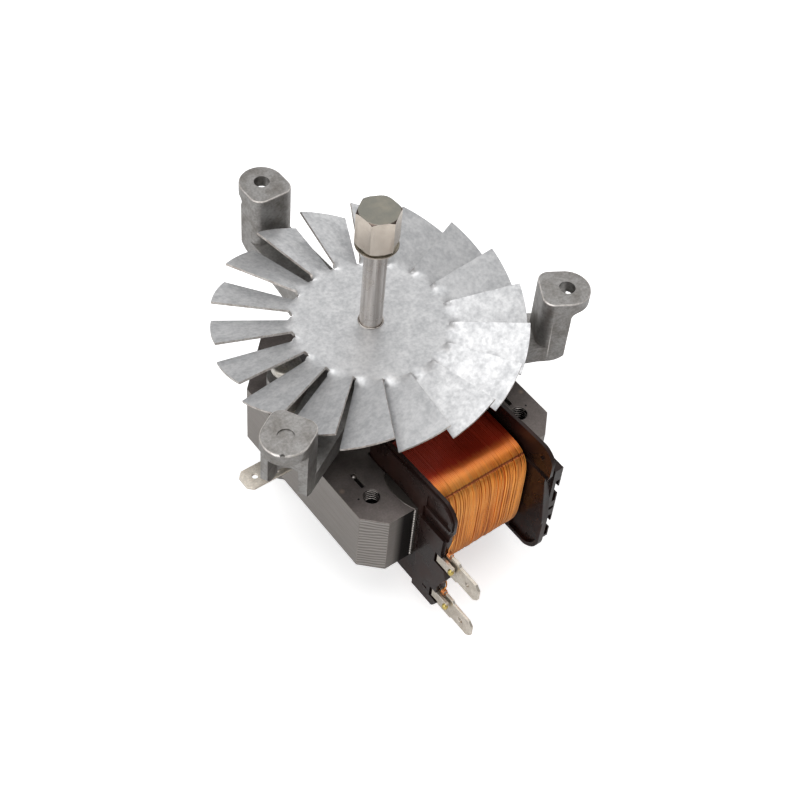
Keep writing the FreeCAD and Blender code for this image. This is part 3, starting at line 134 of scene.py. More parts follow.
# Lamination stack. Stamped sheets of steel, oiled and riveted by their own dimples: the flat faces
# are dark and smooth, and the cut edges show every sheet as a fine light and dark line.
class Finish:
    """A node material under construction: its tree, its shader and short ways to add to them."""

    def __init__(self, name, metallic, roughness):
        self.material = bpy.data.materials.new(name)
        self.material.use_nodes = True
        self.tree = self.material.node_tree
        self.shader = self.tree.nodes["Principled BSDF"]
        self.shader.inputs["Metallic"].default_value = metallic
        self.shader.inputs["Roughness"].default_value = roughness

    def add(self, kind, settings=(), **inputs):
        return add_node(self.tree, kind, settings, **inputs)

    def group(self, group, **inputs):
        made = self.tree.nodes.new("ShaderNodeGroup")
        made.node_tree = group
        set_inputs(self.tree, made, inputs)
        return made

    def link(self, output, socket):
        self.tree.links.new(output, self.shader.inputs[socket])

    def bump(self, height, strength, distance):
        made = self.add("ShaderNodeBump", Strength=strength, Distance=distance * MM, Height=height)
        self.link(made.outputs["Normal"], "Normal")


def set_inputs(tree, node, inputs):
    """Fill a node's sockets by name, from a value or from another node's output."""
    for name, value in inputs.items():
        socket = node.inputs[name.replace("_", " ")] if isinstance(name, str) else node.inputs[name]
        if isinstance(value, bpy.types.NodeSocket):
            tree.links.new(value, socket)
        else:
            socket.default_value = value


def add_node(tree, kind, settings=(), **inputs):
    """A new node with its settings and its sockets filled by name."""
    made = tree.nodes.new(kind)
    for name, value in settings:
        setattr(made, name, value)
    set_inputs(tree, made, inputs)
    return made


def calculate(tree, operation, first, second=0.0, third=0.0):
    """One step of arithmetic on values or outputs."""
    made = tree.nodes.new("ShaderNodeMath")
    made.operation = operation
    for socket, value in zip(made.inputs, (first, second, third)):
        if isinstance(value, bpy.types.NodeSocket):
            tree.links.new(value, socket)
        else:
            socket.default_value = value
    return made.outputs[0]


def blend_colours(tree, factor, first, second, kind="MIX"):
    """Two colours mixed, or combined in another way, by a factor."""
    made = tree.nodes.new("ShaderNodeMix")
    made.data_type = "RGBA"
    made.blend_type = kind
    for place, value in ((0, factor), (6, first), (7, second)):
        socket = made.inputs[place]
        if isinstance(value, bpy.types.NodeSocket):
            tree.links.new(value, socket)
        else:
            socket.default_value = value
    return made.outputs[2]


def spread(tree, value, low, high, new_low=0.0, new_high=1.0):
    """A value's span from low to high, stretched over a new span and held at its ends."""
    made = tree.nodes.new("ShaderNodeMapRange")
    tree.links.new(value, made.inputs["Value"])
    made.inputs["From Min"].default_value = low
    made.inputs["From Max"].default_value = high
    made.inputs["To Min"].default_value = new_low
    made.inputs["To Max"].default_value = new_high
    return made.outputs["Result"]


def noise(tree, vector, scale, detail=4.0, rough=0.55):
    """Cloudy values from 0 to 1, with scale as the number of clouds in a metre."""
    made = add_node(tree, "ShaderNodeTexNoise", Scale=scale, Detail=detail, Roughness=rough)
    tree.links.new(vector, made.inputs["Vector"])
    return made.outputs["Fac"]


def within(tree, place, middle, reach, fade):
    """1 inside an upright cylinder of radius reach about a middle (x, y), 0 beyond its faded wall.

    Lengths are in millimetres. The cylinder stands on both sides, at x and at -x.
    """
    folded = add_node(tree, "ShaderNodeVectorMath", [("operation", "ABSOLUTE")])
    tree.links.new(place, folded.inputs[0])
    offset = add_node(tree, "ShaderNodeVectorMath", [("operation", "SUBTRACT")])
    tree.links.new(folded.outputs[0], offset.inputs[0])
    offset.inputs[1].default_value = (abs(middle[0]) * MM, abs(middle[1]) * MM, 0)
    flat = add_node(tree, "ShaderNodeVectorMath", [("operation", "MULTIPLY")])
    tree.links.new(offset.outputs[0], flat.inputs[0])
    flat.inputs[1].default_value = (1, 1, 0)
    distance = add_node(tree, "ShaderNodeVectorMath", [("operation", "LENGTH")])
    tree.links.new(flat.outputs[0], distance.inputs[0])
    return spread(tree, distance.outputs["Value"], (reach - fade) * MM, reach * MM, 1.0, 0.0)


def facing_up(tree, low, high):
    """1 where a face looks straight up, 0 where it leans, by the height of its normal."""
    normal = tree.nodes.new("ShaderNodeTexCoord").outputs["Normal"]
    split = tree.nodes.new("ShaderNodeSeparateXYZ")
    tree.links.new(normal, split.inputs[0])
    return spread(tree, split.outputs["Z"], low, high)


def new_group(name, takes, gives):
    """An empty node group with named inputs and outputs: (name, kind, default) and (name, kind)."""
    tree = bpy.data.node_groups.new(name, "ShaderNodeTree")
    for label, kind, default in takes:
        socket = tree.interface.new_socket(name=label, in_out="INPUT", socket_type=kind)
        socket.default_value = default
    for label, kind in gives:
        tree.interface.new_socket(name=label, in_out="OUTPUT", socket_type=kind)
    return tree, tree.nodes.new("NodeGroupInput"), tree.nodes.new("NodeGroupOutput")


def make_worn_metal():
    """Two noises, one broad and one fine, stain and speckle a metal's colour and roughness."""
    tree, takes, gives = new_group(
        "worn_metal",
        [("Clean", "NodeSocketColor", (0.5, 0.5, 0.5, 1)),
         ("Stain", "NodeSocketColor", (0.2, 0.18, 0.15, 1)),
         ("Stain Size", "NodeSocketFloat", 120.0),
         ("Stain Amount", "NodeSocketFloat", 0.5),
         ("Grain Size", "NodeSocketFloat", 1800.0),
         ("Grain Amount", "NodeSocketFloat", 0.25),
         ("Smooth", "NodeSocketFloat", 0.35),
         ("Rough", "NodeSocketFloat", 0.6)],
        [("Color", "NodeSocketColor"), ("Roughness", "NodeSocketFloat"),
         ("Height", "NodeSocketFloat")])
    place = tree.nodes.new("ShaderNodeTexCoord").outputs["Object"]
    broad = add_node(tree, "ShaderNodeTexNoise", Detail=5.0, Roughness=0.62)
    fine = add_node(tree, "ShaderNodeTexNoise", Detail=3.0, Roughness=0.6)
    for made, size in ((broad, "Stain Size"), (fine, "Grain Size")):
        tree.links.new(place, made.inputs["Vector"])
        tree.links.new(takes.outputs[size], made.inputs["Scale"])
    stained = spread(tree, broad.outputs["Fac"], 0.42, 0.68)
    stained = calculate(tree, "MULTIPLY", stained, takes.outputs["Stain Amount"])
    colour = blend_colours(tree, stained, takes.outputs["Clean"], takes.outputs["Stain"])
    speck = spread(tree, fine.outputs["Fac"], 0.3, 0.7, -1.0, 1.0)
    speck = calculate(tree, "MULTIPLY_ADD", speck, takes.outputs["Grain Amount"], 1.0)
    grey = tree.nodes.new("ShaderNodeCombineColor")
    for socket in grey.inputs[:3]:
        tree.links.new(speck, socket)
    colour = blend_colours(tree, 1.0, colour, grey.outputs[0], "MULTIPLY")
    tree.links.new(colour, gives.inputs["Color"])
    roughness = tree.nodes.new("ShaderNodeMapRange")
    tree.links.new(broad.outputs["Fac"], roughness.inputs["Value"])
    tree.links.new(takes.outputs["Smooth"], roughness.inputs["To Min"])
    tree.links.new(takes.outputs["Rough"], roughness.inputs["To Max"])
    tree.links.new(roughness.outputs["Result"], gives.inputs["Roughness"])
    tree.links.new(fine.outputs["Fac"], gives.inputs["Height"])
    return tree


WORN_METAL = make_worn_metal()


def worn_finish(name, clean, stain, metallic=1.0, bump=0.1, **values):
    """A metal finish from the worn-metal group, with its fine grain also as a slight relief."""
    made = Finish(name, metallic, 0.4)
    worn = made.group(WORN_METAL, Clean=(*clean, 1), Stain=(*stain, 1), **values)
    made.link(worn.outputs["Color"], "Base Color")
    made.link(worn.outputs["Roughness"], "Roughness")
    made.bump(worn.outputs["Height"], bump, 0.05)
    return made


def make_sheet_edges():
    """The cut edges of stacked sheets: a fine line for each sheet, and broad wavy shear marks.

    Both are bands along Z. The broad ones are bent by a noise and show only on walls that stand
    askew to X and Y, where the punch left them.
    """
    tree, takes, gives = new_group(
        "sheet_edges",
        [("Sheets Per Metre", "NodeSocketFloat", 2000.0),
         ("Marks Per Metre", "NodeSocketFloat", 860.0),
         ("Light", "NodeSocketColor", (0.3, 0.285, 0.265, 1)),
         ("Dark", "NodeSocketColor", (0.17, 0.155, 0.14, 1))],
        [("Color", "NodeSocketColor"), ("Height", "NodeSocketFloat"), ("Side", "NodeSocketFloat")])
    coordinates = tree.nodes.new("ShaderNodeTexCoord")
    split = tree.nodes.new("ShaderNodeSeparateXYZ")
    tree.links.new(coordinates.outputs["Object"], split.inputs[0])
    wander = noise(tree, coordinates.outputs["Object"], 70.0, 2.0)
    phase = calculate(tree, "MULTIPLY", split.outputs["Z"], takes.outputs["Sheets Per Metre"])
    sheets = calculate(tree, "PINGPONG", phase, 0.5)
    bent = calculate(tree, "MULTIPLY_ADD", wander, 0.0045, split.outputs["Z"])
    marks = calculate(tree, "PINGPONG",
                      calculate(tree, "MULTIPLY", bent, takes.outputs["Marks Per Metre"]), 0.5)
    tilt = tree.nodes.new("ShaderNodeSeparateXYZ")
    tree.links.new(coordinates.outputs["Normal"], tilt.inputs[0])
    askew = calculate(tree, "ABSOLUTE",
                      calculate(tree, "MULTIPLY", tilt.outputs["X"], tilt.outputs["Y"]))
    askew = spread(tree, askew, 0.2, 0.4)
    flat = tree.nodes.new("ShaderNodeMapping")
    flat.inputs["Scale"].default_value = (0.06, 0.06, 1.0)
    tree.links.new(coordinates.outputs["Object"], flat.inputs["Vector"])
    streak = noise(tree, flat.outputs["Vector"], 1500.0, 4.0, 0.7)
    band = calculate(tree, "MULTIPLY_ADD", sheets, 0.7, calculate(tree, "MULTIPLY", streak, 0.9))
    broad = calculate(tree, "MULTIPLY", calculate(tree, "SUBTRACT", marks, 0.25), askew)
    band = calculate(tree, "MULTIPLY_ADD", broad, 3.2, band)
    band = spread(tree, band, 0.15, 1.15)
    tree.links.new(blend_colours(tree, band, takes.outputs["Dark"], takes.outputs["Light"]),
                   gives.inputs["Color"])
    tree.links.new(band, gives.inputs["Height"])
    upright = calculate(tree, "ABSOLUTE", tilt.outputs["Z"])
    tree.links.new(spread(tree, upright, 0.5, 0.75, 1.0, 0.0), gives.inputs["Side"])
    return tree


SHEET_EDGES = make_sheet_edges()


def lamination_finish(name, face, face_stain, light, dark, marks=()):
    """Flat faces stained and smooth, cut edges banded sheet by sheet.

    Each mark is a colour over what lies within a reach of an upright line on both arms, on the
    walls alone if it says so.
    """
    made = Finish(name, 0.75, 0.4)
    worn = made.group(WORN_METAL, Clean=(*face, 1), Stain=(*face_stain, 1), Stain_Size=70.0,
                      Stain_Amount=0.8, Grain_Amount=0.12, Smooth=0.3, Rough=0.48)
    edges = made.group(SHEET_EDGES, Light=(*light, 1), Dark=(*dark, 1))
    colour = blend_colours(made.tree, edges.outputs["Side"], worn.outputs["Color"],
                           edges.outputs["Color"])
    place = made.add("ShaderNodeTexCoord").outputs["Object"]
    for middle, reach, fade, tint, walls_only in marks:
        there = within(made.tree, place, middle, reach, fade)
        if walls_only:
            there = calculate(made.tree, "MULTIPLY", there, edges.outputs["Side"])
        colour = blend_colours(made.tree, there, colour, (*tint, 1))
    made.link(colour, "Base Color")
    rough = calculate(made.tree, "MULTIPLY_ADD", edges.outputs["Side"], 0.14,
                      worn.outputs["Roughness"])
    made.link(rough, "Roughness")
    relief = calculate(made.tree, "MULTIPLY", edges.outputs["Height"], edges.outputs["Side"])
    made.bump(relief, 0.35, 0.12)
    return made


def merged_copy(node, name, split=False):
    """A CAD node's surface as a new mesh, closed, with its flat faces whole.

    Points in one place become one point, and triangles in one plane become one face. Split cuts
    those faces into convex ones again, for shapes whose whole faces would fold when rounded.
    """
    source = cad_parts[node].data
    made = bpy.data.meshes.new(name)
    points = np.zeros(len(source.vertices) * 3)
    source.vertices.foreach_get("co", points)
    faces = [tuple(face.vertices) for face in source.polygons]
    made.from_pydata(points.reshape(-1, 3).tolist(), [], faces)
    shape = bmesh.new()
    shape.from_mesh(made)
    bmesh.ops.remove_doubles(shape, verts=shape.verts, dist=0.5e-6)
    bmesh.ops.dissolve_limit(shape, angle_limit=math.radians(0.6), verts=shape.verts,
                             edges=shape.edges, delimit=set())
    if split:
        bmesh.ops.connect_verts_concave(shape, faces=shape.faces)
    for face in shape.faces:
        face.smooth = True
    for edge in shape.edges:
        edge.smooth = len(edge.link_faces) == 2 and edge.calc_face_angle(0) < math.radians(28)
    shape.to_mesh(made)
    shape.free()
    return made


def finished_piece(name, mesh, body, finishes, replaced=()):
    """A mesh as a piece of the motor: its finishes, its body, and what it replaces."""
    for finish in finishes:
        mesh.materials.append(finish.material)
    made = bpy.data.objects.new(name, mesh)
    bpy.context.scene.collection.objects.link(made)
    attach(made, body)
    if replaced:
        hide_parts(*replaced)
    return made


def round_edges(piece, width, steps=2, rim=0, angle=30):
    """Round a piece's sharp edges, with its rims in another of its finishes if it has one."""
    bevel = piece.modifiers.new("rounded_edges", "BEVEL")
    bevel.width = width * MM
    bevel.segments = steps
    bevel.limit_method = "ANGLE"
    bevel.angle_limit = math.radians(angle)
    bevel.harden_normals = True
    bevel.loop_slide = False
    bevel.material = rim
    bevel.miter_outer = "MITER_ARC"
    return bevel


def rounded_copy(node, body, finishes, width, steps=2, split=False):
    """The CAD node again, with rounded edges, and with its second finish on them if given."""
    piece = finished_piece(node + "_finished", merged_copy(node, node + "_finished", split),
                           body, finishes, [node])
    round_edges(piece, width, steps, len(finishes) - 1)


def carried_tube(path, radius, sides=8, closed=False):
    """A round tube along a path: at each point a circle across the path's own direction.

    The circle's first direction is the path's direction crossed with the axis it follows least,
    and its second is the path's direction crossed with the first. The ends of an open tube shrink
    to a point.
    """
    path = np.asarray(path, float)
    if closed:
        along = np.roll(path, -1, 0) - np.roll(path, 1, 0)
    else:
        along = np.gradient(path, axis=0)
    along /= np.linalg.norm(along, axis=1)[:, None]
    spreads = np.abs(along).mean(0)
    side = np.eye(3)[np.argmin(spreads)]
    first = np.cross(along, side)
    first /= np.linalg.norm(first, axis=1)[:, None]
    second = np.cross(along, first)
    turn = np.linspace(0, 2 * np.pi, sides, endpoint=False)
    radii = np.broadcast_to(np.asarray(radius, float), len(path)).copy()
    if not closed:
        radii[[0, -1]] = radii[[0, -1]] * 0.02
    ring = (first[:, None] * np.cos(turn)[None, :, None]
            + second[:, None] * np.sin(turn)[None, :, None])
    return path[:, None] + radii[:, None, None] * ring


def grid_mesh(name, grid, wrap_rows=False):
    """A mesh from a grid of points in millimetres, closed across its columns, with smooth faces.

    Rows follow the path or the profile, and each column round a row wraps to the first one.
    """
    rows, columns = grid.shape[:2]
    index = np.arange(rows * columns).reshape(rows, columns)
    lower = index if wrap_rows else index[:-1]
    upper = np.roll(index, -1, 0) if wrap_rows else index[1:]
    quads = np.stack([lower, np.roll(lower, -1, 1), np.roll(upper, -1, 1), upper], -1)
    made = bpy.data.meshes.new(name)
    made.from_pydata((grid.reshape(-1, 3) * MM).tolist(), [],
                     quads.reshape(-1, 4).tolist())
    shape = bmesh.new()
    shape.from_mesh(made)
    bmesh.ops.remove_doubles(shape, verts=shape.verts, dist=1e-7)
    bmesh.ops.holes_fill(shape, edges=shape.edges, sides=0)
    bmesh.ops.recalc_face_normals(shape, faces=shape.faces)
    for face in shape.faces:
        face.smooth = True
    for edge in shape.edges:
        edge.smooth = len(edge.link_faces) == 2 and edge.calc_face_angle(0) < math.radians(35)
    shape.to_mesh(made)
    shape.free()
    return made


def turned_profile(radii, heights, steps=64):
    """A grid turned about Z: each profile point becomes a circle of its radius at its height."""
    turn = np.linspace(0, 2 * np.pi, steps, endpoint=False)
    radii = np.asarray(radii, float)[:, None]
    heights = np.broadcast_to(np.asarray(heights, float)[:, None], (len(radii), steps))
    return np.stack([radii * np.cos(turn), radii * np.sin(turn), heights], -1)


HOLE_PLACE = (24.0, -34.8)
HOLE_RADIUS = 2.15
LOCK_MIDDLE = (24.0, -28.9)
STACK_TOP = -27.85
LOCK_FLOOR = STACK_TOP - 0.6
THREAD_PITCH = 0.8
THREAD_TURNS = 5
THREAD_CREST = 0.13
SEAM_PLACE = (17.3, -43.98)
SEAM_ENDS = (STACK_TOP - 0.3, STACK_TOP - 19.8)
SEAM_STEP = 0.125
LOCK_HALF = (0.53, 2.43)
# The stack's marks, alike on both arms: a beige scuff on the top; a black dot, painted shade in a
# tiny pit; the front walls beside the coil core near black, painted shade from the bobbin; and the
# tapped holes' walls near black, painted shade inside the holes.
stack_steel = lamination_finish(
    "stack_sheets", (0.23, 0.2, 0.188), (0.1, 0.086, 0.078), (0.36, 0.335, 0.315),
    (0.2, 0.182, 0.168),
    [((29.2, -29.4), 0.9, 0.8, (0.34, 0.27, 0.22), False),
     ((27.2, -33.7), 0.32, 0.1, (0.01, 0.01, 0.01), False),
     ((18.6, -44.0), 4.6, 2.6, (0.014, 0.011, 0.01), True),
     (HOLE_PLACE, HOLE_RADIUS + 0.05, 0.02, (0.012, 0.01, 0.01), True)])
burr_steel = worn_finish("sheet_burr", (0.3, 0.27, 0.25), (0.12, 0.11, 0.1), bump=0.05,
                         Smooth=0.25, Rough=0.45)
rounded_copy("stator_stack", "stator", [stack_steel, burr_steel], 0.1, 2)
# The core's faces and sheet edges are painted near black: painted shade in the narrow gaps beside
# the bobbin, where the core shows.
shaded_core_steel = lamination_finish("core_sheets", (0.08, 0.07, 0.062), (0.04, 0.033, 0.03),
                               (0.3, 0.27, 0.25), (0.1, 0.09, 0.08))
rounded_copy("coil_core", "stator", [shaded_core_steel, burr_steel], 0.1, 2)
thread_steel = worn_finish("thread_crests", (0.34, 0.31, 0.29), (0.08, 0.07, 0.06), bump=0.05,
                           Stain_Size=400.0, Smooth=0.22, Rough=0.35)
# A near-black finish: painted shade, laid on a plate at each interlock pocket's floor.
lock_pocket_shade = worn_finish("lock_shadow", (0.02, 0.018, 0.016), (0.01, 0.01, 0.01), bump=0.05,
                         Smooth=0.5, Rough=0.7)
# A pale steel for the dimples' domes and the core's seams: a bright burr, made paler still as a
# painted highlight.
burr_and_highlight = worn_finish("burr_and_highlight", (0.56, 0.52, 0.49), (0.3, 0.27, 0.25), bump=0.05,
                          Smooth=0.2, Rough=0.35)
dimple = np.linspace(0.02, math.pi / 2, 8)
seam_height = np.arange(*SEAM_ENDS, -SEAM_STEP)
thread_turn = np.linspace(0, 2 * np.pi * THREAD_TURNS, THREAD_TURNS * 36)
for side, arm in ((-1, "left"), (1, "right")):
    thread = np.stack([side * HOLE_PLACE[0] + (HOLE_RADIUS - 0.08) * np.cos(thread_turn),
                       HOLE_PLACE[1] + (HOLE_RADIUS - 0.08) * np.sin(thread_turn),
                       STACK_TOP - 0.35 - THREAD_PITCH * thread_turn / (2 * np.pi)], 1)
    crests = carried_tube(thread, THREAD_CREST, 8)
    finished_piece("thread_" + arm, grid_mesh("thread_" + arm, crests), "stator",
                   [thread_steel])
    bead = turned_profile(0.6 * np.sin(dimple), 0.7 * np.cos(dimple), 20)
    bead += (side * HOLE_PLACE[0], LOCK_MIDDLE[1] + 1.7, LOCK_FLOOR + 0.02)
    finished_piece("lock_dimple_" + arm, grid_mesh("lock_dimple_" + arm, bead), "stator",
                   [burr_and_highlight])
    seam = np.stack([np.full_like(seam_height, side * SEAM_PLACE[0]),
                     np.full_like(seam_height, SEAM_PLACE[1]), seam_height], 1)
    teeth = 0.23 + 0.1 * np.cos(2 * np.pi * seam_height)
    finished_piece("core_seam_" + arm, grid_mesh("core_seam_" + arm, carried_tube(seam, teeth, 8)),
                   "stator", [burr_and_highlight])
    # A black plate on each interlock pocket's floor: painted shade in the pocket.
    floor_plan = np.array([(-1, -1), (1, -1), (1, 1), (-1, 1)]) * LOCK_HALF
    plate = np.array([[(side * LOCK_MIDDLE[0] + x, LOCK_MIDDLE[1] + y, LOCK_FLOOR + rise)
                       for x, y in floor_plan] for rise in (-0.1, 0.03)])
    finished_piece("lock_shade_plate_" + arm, grid_mesh("lock_shade_plate_" + arm, plate), "stator",
                   [lock_pocket_shade])

# Shading rings. Two copper bars bent into closed loops, one let into each pole. The current in
# them holds part of the field back, so that it drags the rotor round.
bare_copper = worn_finish("bare_copper", (0.75, 0.36, 0.17), (0.3, 0.12, 0.06), bump=0.1,
                          Stain_Size=200.0, Stain_Amount=0.7, Smooth=0.3, Rough=0.5)
for ring in ("shading_ring_left", "shading_ring_right"):
    rounded_copy(ring, "stator", [bare_copper], 0.4, 3, split=True)

# Coil. One enamelled copper wire wound turn beside turn round the bobbin's tube. The turns lie
# straight on top, lean and cross a little on the front, and dip together in one crease between.
COIL_HALF = 13.75
COIL_MIDDLE = (-37.5, -37.85)
COIL_REACH = (12.75, 16.25)
WIRE_RADIUS = 0.215
WIRE_TURNS = 72
POINTS_PER_TURN = 112
CREASE_ANGLE = math.radians(129)
CREASE_DEPTH = 0.3
CREASE_PLACE = (-47.86, -23.4)
COIL_CORNERS = (0.42, 0.5)


def rounded_oblong(turn, half_width, half_height, corner, low_corner):
    """A rounded oblong by the angle round it: a superellipse, rounder below than above.

    Width and height follow cos and sin to a power under one, which squares the oblong's corners.
    """
    power = np.where(np.sin(turn) > 0, corner, low_corner)
    across = np.sign(np.cos(turn)) * np.abs(np.cos(turn)) ** power * half_width
    up = np.sign(np.sin(turn)) * np.abs(np.sin(turn)) ** power * half_height
    return across, up


enamel = Finish("enamelled_wire", 0.9, 0.3)
wire_place = enamel.add("ShaderNodeTexCoord").outputs["Object"]
wire_stretch = enamel.add("ShaderNodeMapping", Vector=wire_place)
wire_stretch.inputs["Scale"].default_value = (1.0, 0.04, 0.04)
turn_shade = noise(enamel.tree, wire_stretch.outputs["Vector"], 1300.0, 2.0)
# Broad clouds that mix the wire towards pale gold: painted highlights.
highlight_clouds = noise(enamel.tree, wire_place, 60.0, 3.0)
wire_colour = blend_colours(enamel.tree, spread(enamel.tree, turn_shade, 0.35, 0.65),
                            (0.5, 0.115, 0.016, 1), (0.95, 0.35, 0.05, 1))
wire_colour = blend_colours(enamel.tree, spread(enamel.tree, highlight_clouds, 0.4, 0.7, 0.1, 0.6),
                            wire_colour, (1.0, 0.5, 0.12, 1))
# Towards the back, under the fan, the wire is mixed to deep red: painted shade from the fan.
wire_split = enamel.add("ShaderNodeSeparateXYZ")
enamel.tree.links.new(wire_place, wire_split.inputs[0])
fan_shade_edge = calculate(enamel.tree, "MULTIPLY_ADD", turn_shade, 0.004, wire_split.outputs["Y"])
under_fan_shade = spread(enamel.tree, fan_shade_edge, -0.0455, -0.0395)
wire_colour = blend_colours(enamel.tree, under_fan_shade, wire_colour, (0.4, 0.03, 0.006, 1))
# A thin near-black line along the crease: painted shade in the groove.
wire_round = enamel.add("ShaderNodeVectorMath", [("operation", "MULTIPLY_ADD")])
enamel.tree.links.new(wire_place, wire_round.inputs[0])
wire_round.inputs[1].default_value = (0, 1, 1)
wire_round.inputs[2].default_value = (0, -CREASE_PLACE[0] * MM, -CREASE_PLACE[1] * MM)
from_crease = enamel.add("ShaderNodeVectorMath", [("operation", "LENGTH")])
enamel.tree.links.new(wire_round.outputs[0], from_crease.inputs[0])
crease_shade = spread(enamel.tree, from_crease.outputs["Value"], 0.3 * MM, 0.55 * MM, 0.85, 0.0)
wire_colour = blend_colours(enamel.tree, crease_shade, wire_colour, (0.16, 0.02, 0.005, 1))
enamel.link(wire_colour, "Base Color")
enamel.shader.inputs["Coat Weight"].default_value = 0.25
enamel.shader.inputs["Coat Roughness"].default_value = 0.15

# Even steps along the wire: the oblong's own angle is read back from the length walked round it.
round_turn = np.linspace(0, 2 * np.pi, 4000)
round_path = np.stack(rounded_oblong(round_turn, *COIL_REACH, *COIL_CORNERS), 1)
walked = np.concatenate([[0], np.cumsum(np.linalg.norm(np.diff(round_path, axis=0), axis=1))])
even_turn = np.interp(np.linspace(0, walked[-1], POINTS_PER_TURN, endpoint=False), walked,
                      round_turn)
near_crease = CREASE_ANGLE + np.radians([-6.5, -4.5, -3, -1.5, 0, 1.5, 3, 4.5, 6.5])
even_turn = even_turn[np.abs(even_turn - CREASE_ANGLE) > math.radians(8)]
even_turn = np.sort(np.concatenate([even_turn, near_crease]))
turn = (np.arange(WIRE_TURNS)[:, None] * 2 * np.pi + even_turn).ravel()
rng = np.random.default_rng(7)
knots = np.linspace(0, turn[-1], WIRE_TURNS * 4)
sway = np.interp(turn, knots, rng.normal(0, 0.13, len(knots)))
lift = np.interp(turn, knots, rng.normal(0, 0.06, len(knots)))
front = np.clip(-np.cos(turn) * 1.6 - np.sin(turn) * 0.4, 0, 1)
across, up = rounded_oblong(turn, *COIL_REACH, *COIL_CORNERS)
crease = np.exp(-((turn % (2 * np.pi) - CREASE_ANGLE) / math.radians(2.6)) ** 2)
size = 1 + (lift * (0.3 + front) - 0.06 - CREASE_DEPTH * crease) / 15
winding = np.stack([-COIL_HALF + 2 * COIL_HALF * turn / turn[-1] + sway * (0.25 + front),
                    COIL_MIDDLE[0] + across * size, COIL_MIDDLE[1] + up * size], 1)
winding[:, 0] = np.clip(winding[:, 0], -COIL_HALF, COIL_HALF)
wire_mesh = grid_mesh("coil_wire", carried_tube(winding, WIRE_RADIUS, 7))
finished_piece("coil_wire", wire_mesh, "stator", [enamel], ["coil"])
inner_turn = np.interp(np.linspace(0, walked[-1], 96, endpoint=False), walked, round_turn)
inner_y, inner_z = rounded_oblong(inner_turn, COIL_REACH[0] - 0.2, COIL_REACH[1] - 0.2,
                                  *COIL_CORNERS)
inner_layer = np.stack([np.stack([np.full_like(inner_y, end * (COIL_HALF - 0.05)),
                                  COIL_MIDDLE[0] + inner_y * reach,
                                  COIL_MIDDLE[1] + inner_z * reach], 1)
                        for end, reach in ((-1, 0.02), (-1, 1), (1, 1), (1, 0.02))])
finished_piece("coil_inner", grid_mesh("coil_inner", inner_layer), "stator",
               [enamel])

# Bobbin. One glossy moulding, dark brown to black: the tube under the coil, two tall cheeks, the
# block that holds the tabs on the left cheek, and an empty tab pocket on the right one.
moulding = Finish("bobbin_moulding", 0.0, 0.28)
mould_place = moulding.add("ShaderNodeTexCoord").outputs["Object"]
cloud = noise(moulding.tree, mould_place, 140.0, 4.0)
moulding.link(blend_colours(moulding.tree, spread(moulding.tree, cloud, 0.4, 0.75),
                            (0.012, 0.006, 0.005, 1), (0.028, 0.01, 0.007, 1)), "Base Color")
moulding.link(spread(moulding.tree, cloud, 0.3, 0.7, 0.2, 0.38), "Roughness")
moulding.shader.inputs["Specular IOR Level"].default_value = 0.28
moulding.bump(noise(moulding.tree, mould_place, 700.0, 2.0), 0.06, 0.1)
rounded_copy("bobbin", "stator", [moulding], 0.3, 3, split=True)

# Tab terminals. Tinned brass blades pushed into the block from the front. Each has a flat prong
# beside it, soldered to the blade, and a narrow finger above it that the coil's lead is wrapped on.
tin = worn_finish("tinned_brass", (0.74, 0.68, 0.6), (0.5, 0.44, 0.36), bump=0.08, Stain_Size=420.0,
                  Stain_Amount=0.7, Grain_Size=2600.0, Grain_Amount=0.16, Smooth=0.3, Rough=0.5)
tin_edge = worn_finish("tinned_edge", (0.84, 0.79, 0.71), (0.6, 0.53, 0.43), bump=0.04,
                       Smooth=0.25, Rough=0.42)
solder = worn_finish("solder", (0.66, 0.52, 0.17), (0.4, 0.3, 0.09), bump=0.06, Stain_Size=500.0,
                     Smooth=0.15, Rough=0.35)
bare_lead = worn_finish("bare_lead", (0.82, 0.34, 0.13), (0.5, 0.17, 0.06), bump=0.05,
                        Stain_Size=500.0, Smooth=0.2, Rough=0.35)
LEAD_RADIUS = 0.19
LOOP_RADIUS = 0.68
LOOPS = 3
LOOPS_START = -55.95
LOOPS_LENGTH = 1.1
SOLDER_PLACE = (-16.95, -59.2)
SOLDER_HALF = (0.8, 0.85, 1.15)
FINGER_X = -15.3
FINGER_HEIGHTS = {"upper": -34.45, "lower": -51.05}
SOLDER_HEIGHTS = {"upper": -37.3, "lower": -53.0}
LEAD_PATHS = {
    "upper": [(-13.4, -49.6, -26.8), (-14.0, -51.5, -27.0), (-14.3, -53.5, -27.2),
              (-14.7, -56.6, -27.6), (-15.8, -57.0, -28.6), (-16.1, -56.6, -31.0),
              (-15.9, -56.4, -33.2), (-15.4, -56.2, -33.9)],
    "lower": [(-13.3, -50.6, -46.5), (-13.6, -53.0, -47.4), (-13.9, -55.2, -48.6),
              (-14.4, -56.2, -49.6), (-15.0, -56.3, -50.1), (-15.6, -56.2, -50.4)]}


def eased_path(points, rounds=3):
    """A path with its corners cut: each side keeps only its points at a quarter and at three."""
    path = np.asarray(points, float)
    for _ in range(rounds):
        start, end = path[:-1], path[1:]
        cut = np.stack([start * 0.75 + end * 0.25, start * 0.25 + end * 0.75], 1).reshape(-1, 3)
        path = np.vstack([path[:1], cut, path[-1:]])
    return path


